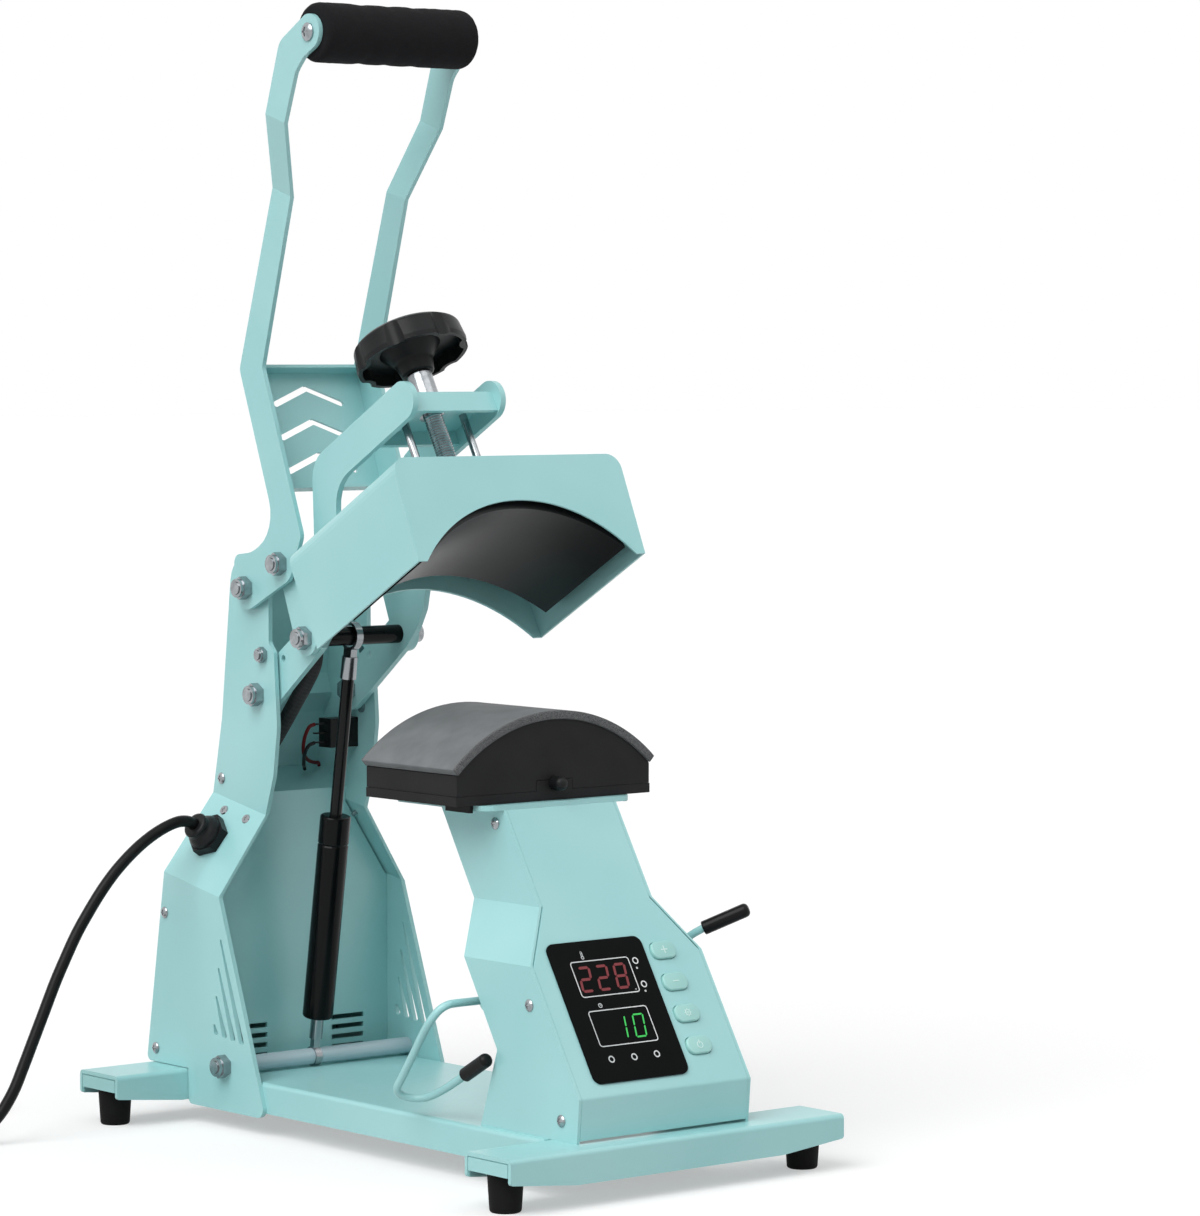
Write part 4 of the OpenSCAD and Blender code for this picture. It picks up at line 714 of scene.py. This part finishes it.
def turnPiece(stations, sides):
    # extruded ring by ring along Z from (height, radius) stations
    height, radius = stations[0]
    bpy.ops.mesh.primitive_circle_add(
        vertices=sides, radius=radius, fill_type="NGON", location=(0, 0, height))
    piece = bpy.context.object
    applyPlace(piece)
    openForEdit(piece, "FACE")
    bpy.ops.mesh.select_all(action="SELECT")
    for nextHeight, nextRadius in stations[1:]:
        bpy.ops.mesh.extrude_region_move(
            TRANSFORM_OT_translate={"value": (0, 0, nextHeight - height)})
        share = nextRadius / radius
        bpy.ops.transform.resize(value=(share, share, 1), center_override=(0, 0, nextHeight))
        height, radius = nextHeight, nextRadius
    closeEdit()
    return piece


def pointAlong(piece, place, direction):
    piece.matrix_world = Matrix.Translation(place) @ Vector(direction).to_track_quat(
        "Z", "Y").to_matrix().to_4x4()
    bpy.context.view_layer.update()
    return piece


# ---- the mains lead: one cable from the gland to the moulded plug ----

mainsLead = {
    "diameter": 0.0076,
    "exit": (-68.8, 402.5, 192),
    "route": [
        (-68.8, 402.5, 192), (-72.2, 402.1, 194.2), (-77, 401.8, 195.9),
        (-84, 401.8, 196), (-93, 402.6, 193.2), (-102, 404, 188.5),
        (-112, 404, 182.5), (-122, 404, 175), (-132, 404, 166),
        (-142, 404, 155), (-152, 404, 142), (-161, 404, 129),
        (-169, 404, 115), (-177, 404, 100), (-185, 404, 83),
        (-193, 404, 66), (-201, 404, 49), (-209, 404, 33),
        (-218, 406, 19), (-229, 408, 9.4), (-239, 409.6, 5.4),
        (-247, 410, 4.05), (-253.8, 410, 4)],
    "coilCentre": (-262, 463.55),
    "turns": 5.5,
    "turnStep": 8.4,
    "meanRadius": 42,
    "pointsPerTurn": 48,
    "tail": 34,
    "restHeight": 4,
    "steps": 6,
}


def smoothLine(points, steps):
    # a rounded line through all the points
    line = []
    last = len(points) - 1
    for k in range(last):
        here, there = points[k], points[k + 1]
        before = points[k - 1] if k else tuple(2 * h - t for h, t in zip(here, there))
        after = points[k + 2] if k + 2 <= last else tuple(
            2 * t - h for h, t in zip(here, there))
        for step in range(steps):
            t = step / steps
            line.append(tuple(
                0.5 * (2 * b + (c - a) * t + (2 * a - 5 * b + 4 * c - d) * t * t
                       + (3 * b - a - 3 * c + d) * t * t * t)
                for a, b, c, d in zip(before, here, there, after)))
    line.append(tuple(points[-1]))
    return line


def coilLine():
    made = mainsLead
    full = 360 * made["turns"]
    outer = made["meanRadius"] + made["turnStep"] * made["turns"] / 4
    count = round(made["turns"] * made["pointsPerTurn"])
    centreX, centreY = made["coilCentre"]
    line = []
    for k in range(count + 1):
        angle = full * k / count
        radius = outer - made["turnStep"] * min(angle, full - angle) / 360
        share = min(max((angle - full / 2 + 90) / 180, 0), 1)
        height = made["restHeight"] + made["turnStep"] * share * share * (3 - 2 * share)
        turn = math.radians(angle)
        line.append((centreX - radius * math.sin(turn),
                     centreY - radius * math.cos(turn), height))
    return line


def bendCable(name, line, diameter, sides=4):
    # a round cable along a line of points
    drawn = bpy.data.curves.new(name, "CURVE")
    drawn.dimensions = "3D"
    drawn.bevel_depth = diameter / 2
    drawn.bevel_resolution = sides
    drawn.use_fill_caps = True
    spline = drawn.splines.new("POLY")
    spline.points.add(len(line) - 1)
    for point, place in zip(spline.points, line):
        point.co = (*place, 1)
    cable = bpy.data.objects.new(name, drawn)
    bpy.context.scene.collection.objects.link(cable)
    return cable


def makeMainsLead():
    made = mainsLead
    freeStretch = smoothLine(made["route"], made["steps"])
    coil = coilLine()
    endX, endY, endZ = coil[-1]
    tail = [(endX + made["tail"] * share, endY, endZ) for share in (0.25, 0.5, 0.75, 1)]
    line = [at(*point) for point in freeStretch + coil + tail]
    lead = bendCable("mains_lead", line, made["diameter"])
    lead.data.materials.append(leadVinyl)
    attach(lead, "base")
    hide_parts("power_cord", "cord_coil")
    at(*made["exit"])


# ---- the foam roll on the handle ----

gripRoll = {
    "creases": (-23.5, -2.5, 18.5), "creaseDepth": 0.8, "creaseWidth": 3.4,
    "creaseSharpness": 1.4, "withinSolid": 0.4,
    "endRounding": 5.0, "endDrop": 4.2, "holeRadius": 5.2,
    "stations": 84, "sides": 72, "unevenness": 0.0002,
}


def makeGripRoll():
    made = gripRoll
    low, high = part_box("foam_grip")
    half = (high.x - low.x) * 500
    full = (high.z - low.z) * 500
    stations = []
    for k in range(made["stations"] + 1):
        x = -half * math.cos(math.pi * k / made["stations"])
        radius = full - made["withinSolid"]
        for crease in made["creases"]:
            away = abs(x - crease) / made["creaseWidth"]
            radius -= made["creaseDepth"] * math.exp(-away ** made["creaseSharpness"])
        fromEnd = min(half - abs(x), made["endRounding"])
        inward = 1 - fromEnd / made["endRounding"]
        radius -= made["endDrop"] * (1 - math.sqrt(1 - inward ** 2))
        stations.append((x / 1000, radius / 1000))
    ends = made["holeRadius"] / 1000
    stations = [(stations[0][0], ends)] + stations + [(stations[-1][0], ends)]
    roll = turnPiece(stations, made["sides"])
    openForEdit(roll, "VERT")
    bpy.ops.mesh.select_all(action="SELECT")
    bpy.ops.transform.vertex_random(offset=made["unevenness"], uniform=0.4, normal=0.8, seed=7)
    bpy.ops.mesh.vertices_smooth(factor=0.5, repeat=2)
    closeEdit()
    pointAlong(roll, (low + high) / 2, (1, 0, 0))
    finishPiece(roll, "grip_roll", gripFoam, "handle", ["foam_grip"], 60)


# ---- the silicone pad over the lower platen ----

sponge = {
    "coreRadius": 0.10805, "padRadius": 0.1134, "steps": 96, "edgeRounding": 0.0007,
    "shorterBy": 0.0004, "sharpFrom": 1.2,
}


def makePad():
    made = sponge
    low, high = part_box("silicone_pad")
    centre = Vector((0, (low.y + high.y) / 2, high.z - made["padRadius"]))
    half = math.asin((high.x - low.x) / 2 / made["padRadius"]) - made["shorterBy"]
    thick = made["padRadius"] - made["coreRadius"]
    middleRadius = (made["padRadius"] + made["coreRadius"]) / 2
    bpy.ops.mesh.primitive_plane_add(size=1, location=(0, 0, 0))
    pad = bpy.context.object
    pad.scale = (thick, high.y - low.y, 1)
    applyPlace(pad)
    pad.matrix_world = (
        Matrix.Translation(centre) @ Matrix.Rotation(-half, 4, "Y")
        @ Matrix.Translation((0, 0, middleRadius)) @ Matrix.Rotation(math.radians(90), 4, "Y"))
    applyPlace(pad)
    openForEdit(pad, "FACE")
    bpy.ops.mesh.select_all(action="SELECT")
    bpy.ops.mesh.spin(steps=made["steps"], angle=-2 * half, center=centre, axis=(0, 1, 0))
    bpy.ops.mesh.select_all(action="SELECT")
    bpy.ops.mesh.normals_make_consistent(inside=False)
    bpy.ops.mesh.select_mode(type="EDGE")
    bpy.ops.mesh.select_all(action="DESELECT")
    choose(pad, lambda edge: (
        len(edge.link_faces) == 2 and edge.calc_face_angle(0) > made["sharpFrom"]), "edges")
    bpy.ops.mesh.bevel(offset=made["edgeRounding"], segments=3, affect="EDGES")
    closeEdit()
    finishPiece(pad, "pad_skin", greySilicone, "lower_platen", ["silicone_pad"])


# ---- what lights up and what is printed on the display ----

panelSlope = {"footY": 14.7, "footZ": 61.0, "angleDeg": 31.64, "filmTop": 1.25}


def slopePlace():
    turn = math.radians(panelSlope["angleDeg"])
    foot = at(0, panelSlope["footY"], panelSlope["footZ"])
    return Matrix((
        (1, 0, 0, foot.x),
        (0, math.sin(turn), -math.cos(turn), foot.y),
        (0, math.cos(turn), math.sin(turn), foot.z),
        (0, 0, 0, 1)))


marks = {
    "proud": 0.07,
    "frameWidth": 0.62,
    "frames": (((-38.3, 7.0), (63.0, 86.6)), ((-38.3, 7.2), (30.7, 54.2))),
    "frameRounding": 2.2,
    "rings": ((11.7, 83.3), (11.6, 67.7), (-33.4, 22.5), (-15.9, 22.3), (1.7, 22.4)),
    "ringRadius": 2.25, "ringWidth": 0.75,
    "red": {"text": "228", "at": ((-30.6, 74.6), (-17.1, 74.6), (-3.2, 74.6)),
            "tall": 15.2, "wide": 8.0, "stroke": 1.75, "slant": 0.15},
    "green": {"text": "10", "at": ((-17.6, 41.8), (-3.3, 41.8)),
              "tall": 14.3, "wide": 7.7, "stroke": 1.05, "slant": 0.19},
    "segmentGap": 0.25,
    "dots": ((4.2, 65.0),), "dotRadius": 0.42, "dotWidth": 0.5, "dotSides": 10,
}

segmentsOf = {"0": "abcdef", "1": "bc", "2": "abged", "8": "abcdefg"}


def flatBox(low, high):
    # one flat rectangle on the slope, in mm
    bpy.ops.mesh.primitive_plane_add(size=1, location=(
        (low[0] + high[0]) / 2000, (low[1] + high[1]) / 2000, 0))
    piece = bpy.context.object
    piece.scale = ((high[0] - low[0]) / 1000, (high[1] - low[1]) / 1000, 1)
    applyPlace(piece)
    return piece


def raiseMark(piece, proud):
    openForEdit(piece, "FACE")
    bpy.ops.mesh.select_all(action="SELECT")
    bpy.ops.mesh.extrude_region_move(
        TRANSFORM_OT_translate={"value": (0, 0, proud / 1000)})
    closeEdit()
    return piece


def drawFrame(low, high, rounding, width):
    piece = flatBox(low, high)
    openForEdit(piece, "VERT")
    bpy.ops.mesh.select_all(action="SELECT")
    bpy.ops.mesh.bevel(offset=rounding / 1000, segments=5, affect="VERTICES")
    bpy.ops.mesh.select_mode(type="FACE")
    bpy.ops.mesh.select_all(action="SELECT")
    bpy.ops.mesh.inset(thickness=width / 1000, depth=0)
    bpy.ops.mesh.delete(type="FACE")
    closeEdit()
    return piece


def drawRing(place, radius, width, sides=28):
    bpy.ops.mesh.primitive_circle_add(
        vertices=sides, radius=radius / 1000, fill_type="NGON",
        location=(place[0] / 1000, place[1] / 1000, 0))
    piece = bpy.context.object
    applyPlace(piece)
    openForEdit(piece, "FACE")
    bpy.ops.mesh.select_all(action="SELECT")
    bpy.ops.mesh.inset(thickness=width / 1000, depth=0)
    bpy.ops.mesh.delete(type="FACE")
    closeEdit()
    return piece


def drawBar(start, end, width):
    # one stroke of a digit or sign, with pointed ends as a display has
    first, last = Vector((*start, 0)), Vector((*end, 0))
    length = (last - first).length
    piece = flatBox((0, -width / 2), (length - width, width / 2))
    openForEdit(piece, "EDGE")
    choose(piece, lambda edge: abs(edge.verts[0].co.x - edge.verts[1].co.x) < 1e-6, "edges")
    bpy.ops.mesh.subdivide(number_cuts=1)
    bpy.ops.mesh.select_mode(type="VERT")
    mesh = bmesh.from_edit_mesh(piece.data)
    for corner in mesh.verts:
        if abs(corner.co.y) < 1e-6:
            corner.co.x += width / 2000 if corner.co.x > 0.0001 else -width / 2000
    bmesh.update_edit_mesh(piece.data)
    closeEdit()
    turn = math.atan2(last.y - first.y, last.x - first.x)
    piece.matrix_world = (
        Matrix.Translation(first / 1000) @ Matrix.Rotation(turn, 4, "Z")
        @ Matrix.Translation((width / 2000, 0, 0)))
    applyPlace(piece)
    return piece


def drawDigit(sign, place, tall, wide, width, slant):
    high, half = tall / 2, wide / 2
    strokes = {
        "a": ((-half, high), (half, high)), "g": ((-half, 0), (half, 0)),
        "d": ((-half, -high), (half, -high)), "f": ((-half, high), (-half, 0)),
        "b": ((half, high), (half, 0)), "e": ((-half, 0), (-half, -high)),
        "c": ((half, 0), (half, -high))}
    made = []
    for name in segmentsOf[sign]:
        start, end = (Vector(point) for point in strokes[name])
        step = (end - start).normalized() * marks["segmentGap"]
        made.append(drawBar(start + step, end - step, width))
    digit = joinPieces(made)
    lean = Matrix.Identity(4)
    lean[0][1] = slant
    digit.data.transform(lean)
    digit.data.transform(Matrix.Translation((place[0] / 1000, place[1] / 1000, 0)))
    return digit


def putOnSlope(piece, lift):
    piece.matrix_world = slopePlace() @ Matrix.Translation((0, 0, lift / 1000))
    bpy.context.view_layer.update()
    return piece


def makeDisplayMarks():
    made = marks
    for name, lit, material in (
            ("digits_above", made["red"], litRed), ("digits_below", made["green"], litGreen)):
        digits = [drawDigit(sign, place, lit["tall"], lit["wide"], lit["stroke"], lit["slant"])
                  for sign, place in zip(lit["text"], lit["at"])]
        row = raiseMark(joinPieces(digits), made["proud"])
        putOnSlope(row, panelSlope["filmTop"])
        finishPiece(row, name, material, "base")
    printed = [drawFrame((x[0], s[0]), (x[1], s[1]), made["frameRounding"], made["frameWidth"])
               for x, s in made["frames"]]
    printed += [drawRing(place, made["ringRadius"], made["ringWidth"]) for place in made["rings"]]
    printed += [drawRing(place, made["dotRadius"], made["dotWidth"], made["dotSides"])
                for place in made["dots"]]
    printed += drawSmallSigns()
    lines = raiseMark(joinPieces(printed), made["proud"])
    putOnSlope(lines, panelSlope["filmTop"])
    finishPiece(lines, "printed_lines", printedWhite, "base")


smallSigns = {
    "thermometer": (-27.1, 90.0), "clock": (-27.1, 57.1), "stroke": 0.42,
    "bulbDrop": 1.3, "bulbRadius": 1.15, "bulbSides": 16,
    "stemHalf": 0.5, "stemLow": -0.4, "stemTop": 2.7,
    "clockRadius": 1.5, "clockSides": 20, "minuteHand": 1.1, "hourHand": 0.8,
    "degreeAt": ((10.9, 78.5), (10.9, 63.2)), "degreeRadius": 0.7, "degreeSides": 14,
}


def drawSmallSigns():
    # a little thermometer, a clock and two degree rings, and no words
    made = smallSigns
    width = made["stroke"]
    x, s = made["thermometer"]
    left, right = x - made["stemHalf"], x + made["stemHalf"]
    low, top = s + made["stemLow"], s + made["stemTop"]
    signs = [drawRing((x, s - made["bulbDrop"]), made["bulbRadius"], width, made["bulbSides"]),
             drawBar((left, low), (left, top), width),
             drawBar((right, low), (right, top), width),
             drawBar((left, top), (right, top), width)]
    x, s = made["clock"]
    signs += [drawRing((x, s), made["clockRadius"], width, made["clockSides"]),
              drawBar((x, s), (x, s + made["minuteHand"]), width),
              drawBar((x, s), (x + made["hourHand"], s), width)]
    signs += [drawRing(place, made["degreeRadius"], width, made["degreeSides"])
              for place in made["degreeAt"]]
    return signs


# ---- the four keys beside the display ----

keys = {
    "x": 36.2, "lowest": 24.9, "pitch": 21.15, "wide": 18.4, "high": 11.3,
    "rounding": 4.8, "proud": 2.0, "behind": 3.4, "edge": 0.9,
    "names": (("power_key", "power_button"), ("set_key", "set_button"),
              ("minus_key", "minus_button"), ("plus_key", "plus_button")),
}

keySigns = {
    "stroke": 0.62, "proud": 0.22, "sunk": 0.04, "plusReach": 2.6, "teeth": 8,
    "toothFrom": 1.75, "toothTo": 2.75, "gear": (2.0, 0.5, 24), "hub": (0.9, 0.4, 14),
    "powerAt": (0, -0.3), "powerRing": (2.3, 0.5, 24), "powerBar": (0.3, 3.0),
}


def keySign(row):
    # what is printed on a key: power, set, minus and plus, from the lowest up
    made = keySigns
    width, reach = made["stroke"], made["plusReach"]
    if row == 3:
        return [drawBar((-reach, 0), (reach, 0), width), drawBar((0, -reach), (0, reach), width)]
    if row == 2:
        return [drawBar((-reach, 0), (reach, 0), width)]
    if row == 1:
        turns = [math.radians(360 / made["teeth"] * k) for k in range(made["teeth"])]
        teeth = [drawBar(*[(far * math.cos(turn), far * math.sin(turn))
                           for far in (made["toothFrom"], made["toothTo"])], width)
                 for turn in turns]
        return [drawRing((0, 0), *made["gear"]), drawRing((0, 0), *made["hub"])] + teeth
    low, high = made["powerBar"]
    return [drawRing(made["powerAt"], *made["powerRing"]), drawBar((0, low), (0, high), width)]


def makeKeys():
    made = keys
    for row, (body, node) in enumerate(made["names"]):
        key = flatBox((-made["wide"] / 2, -made["high"] / 2), (made["wide"] / 2, made["high"] / 2))
        openForEdit(key, "VERT")
        bpy.ops.mesh.select_all(action="SELECT")
        bpy.ops.mesh.bevel(offset=made["rounding"] / 1000, segments=10, affect="VERTICES")
        bpy.ops.mesh.select_mode(type="FACE")
        bpy.ops.mesh.select_all(action="SELECT")
        bpy.ops.mesh.extrude_region_move(TRANSFORM_OT_translate={
            "value": (0, 0, (made["proud"] + made["behind"]) / 1000)})
        bpy.ops.mesh.select_mode(type="EDGE")
        top = (made["proud"] + made["behind"]) / 1000 - 1e-6
        choose(key, lambda edge: min(end.co.z for end in edge.verts) > top, "edges")
        bpy.ops.mesh.bevel(offset=made["edge"] / 1000, segments=4, affect="EDGES")
        closeEdit()
        key.data.materials.append(mintKeys)
        sign = raiseMark(joinPieces(keySign(row)), keySigns["proud"])
        sign.data.transform(Matrix.Translation((0, 0, top - keySigns["sunk"] / 1000)))
        sign.data.materials.clear()
        sign.data.materials.append(keyPrint)
        key = joinPieces([key, sign])
        key.data.transform(Matrix.Translation((
            made["x"] / 1000, (made["lowest"] + made["pitch"] * row) / 1000, 0)))
        putOnSlope(key, -made["behind"])
        finishPiece(key, node + "_cap", None, body, [node])


# ---- the cap hold wire, bent from one rod ----

holdWire = {
    "diameter": 0.005, "steps": 6, "sides": 6,
    "route": [
        (-72, 112, 67), (-72, 128, 58), (-72, 141, 51.5), (-73.5, 150, 47.5),
        (-77, 156, 46), (-82, 160, 46.5), (-87, 162, 49), (-90, 160.5, 53.5),
        (-90, 155, 61), (-90, 144, 76), (-90, 134, 90), (-89, 128, 98),
        (-86, 124, 104), (-81, 122, 107), (-75, 122, 107.5), (-66, 122, 107.5),
        (-40, 122, 107.5), (0, 122, 107.5), (40, 122, 107.5), (60, 122, 107.5),
        (68, 121.5, 108), (75, 119, 111), (80, 115, 116.5), (85, 108, 126),
        (90, 100, 136), (95, 92, 142), (101, 86, 145.8)],
}


def makeHoldWire():
    made = holdWire
    line = [at(*point) for point in smoothLine(made["route"], made["steps"])]
    wire = bendCable("hold_wire_rod", line, made["diameter"], made["sides"])
    clearSelection()
    wire.select_set(True)
    bpy.context.view_layer.objects.active = wire
    bpy.ops.object.convert(target="MESH")
    finishPiece(wire, "hold_wire_rod", mintPaint, "hold_wire",
                ["cap_hold_wire"], 50)


# ---- the wires of the mains switch ----

switchLeads = {
    "diameter": 0.0024, "steps": 6, "sides": 3,
    "red": [(7.8, 378, 256), (3.5, 378.5, 254), (3, 383, 246), (9, 392, 236.5),
            (19, 401, 230.5), (28, 406, 228), (33, 408.6, 227.4), (34.5, 409.8, 225.4)],
    "black": [(7.8, 378, 244), (4, 379.5, 242), (5.5, 386, 236), (12, 396, 228.8),
              (18, 404, 226.4), (20.5, 406.6, 223.9)],
}


def makeSwitchLeads():
    made = switchLeads
    for name, material in (("red", redWire), ("black", blackWire)):
        line = [at(*point) for point in smoothLine(made[name], made["steps"])]
        lead = bendCable("switch_lead_" + name, line, made["diameter"], made["sides"])
        lead.data.materials.append(material)
        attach(lead, "base")
        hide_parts("switch_wires")


# ---- the braided sleeve over the heater leads ----

heaterSleeve = {
    "diameter": 0.0102, "steps": 8, "sides": 8, "exitX": -25, "exitClosed": (240.8, 300),
    "pivot": (373, 278), "raisedDeg": -29.3, "straight": 9,
    "route": [
        (-25, 291, 349.5), (-24, 307, 341.5), (-23, 321, 333.5), (-22, 331.5, 322.5),
        (-21, 336.5, 309), (-20, 341, 297), (-20, 350, 285), (-20, 361, 272.5),
        (-20, 373, 259), (-20, 385, 246), (-20, 394, 236), (-20, 400, 228.5),
        (-20, 401.5, 222.6)],
}


def sleeveExit(further):
    # where the sleeve leaves the raised head, and a point a little further out
    made = heaterSleeve
    turn = math.radians(made["raisedDeg"])
    away = [a + b - c for a, b, c in zip(made["exitClosed"], (further, 0), made["pivot"])]
    return (made["exitX"], made["pivot"][0] + away[0] * math.cos(turn) - away[1] * math.sin(turn),
            made["pivot"][1] + away[0] * math.sin(turn) + away[1] * math.cos(turn))


def makeHeaterSleeve():
    made = heaterSleeve
    route = [sleeveExit(0), sleeveExit(made["straight"])] + made["route"]
    line = [at(*point) for point in smoothLine(route, made["steps"])]
    sleeve = bendCable("heater_sleeve", line, made["diameter"], made["sides"])
    clearSelection()
    sleeve.select_set(True)
    bpy.context.view_layer.objects.active = sleeve
    bpy.ops.object.convert(target="MESH")
    applyPlace(sleeve)
    sleeve.data.materials.clear()
    sleeve.data.materials.append(braidedSleeve)
    bpy.ops.object.shade_smooth_by_angle(angle=math.radians(50))
    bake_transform(sleeve)
    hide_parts("heater_cable")


# ---- the rubber feet ----

foot = {
    "inset": 14.0, "halfLength": 130.0, "front": 22.5, "rear": 428.5,
    "profile": ((0, 5.0), (0.0, 8.4), (0.5, 9.1), (1.4, 9.5), (9, 10.0), (22, 10.8),
                (29.5, 11.15), (31.5, 11.2), (31.9, 11.1)),
    "sides": 56, "hollowRim": 0.0004, "hollowDepth": 0.004,
}


def makeFeet():
    made = foot
    model = turnPiece(
        [(height / 1000, radius / 1000) for height, radius in made["profile"]], made["sides"])
    openForEdit(model, "FACE")
    choose(model, lambda face: middle(face).z < 1e-6 and len(face.verts) > 8)
    bpy.ops.mesh.inset(thickness=made["hollowRim"], depth=-made["hollowDepth"])
    closeEdit()
    side = made["halfLength"] - made["inset"]
    feet = [copyPiece(model, at(x, y, 0))
            for x in (-side, side) for y in (made["front"], made["rear"])]
    bpy.data.objects.remove(model)
    finishPiece(joinPieces(feet), "moulded_feet", footRubber, "base",
                ["rubber_feet"])


makeMainsLead()
makeHeaterSleeve()
makeSwitchLeads()
print("cables are laid")
makeGripRoll()
makePad()
makeDisplayMarks()
makeKeys()
makeHoldWire()
makeFeet()
print("modelled pieces are in place")
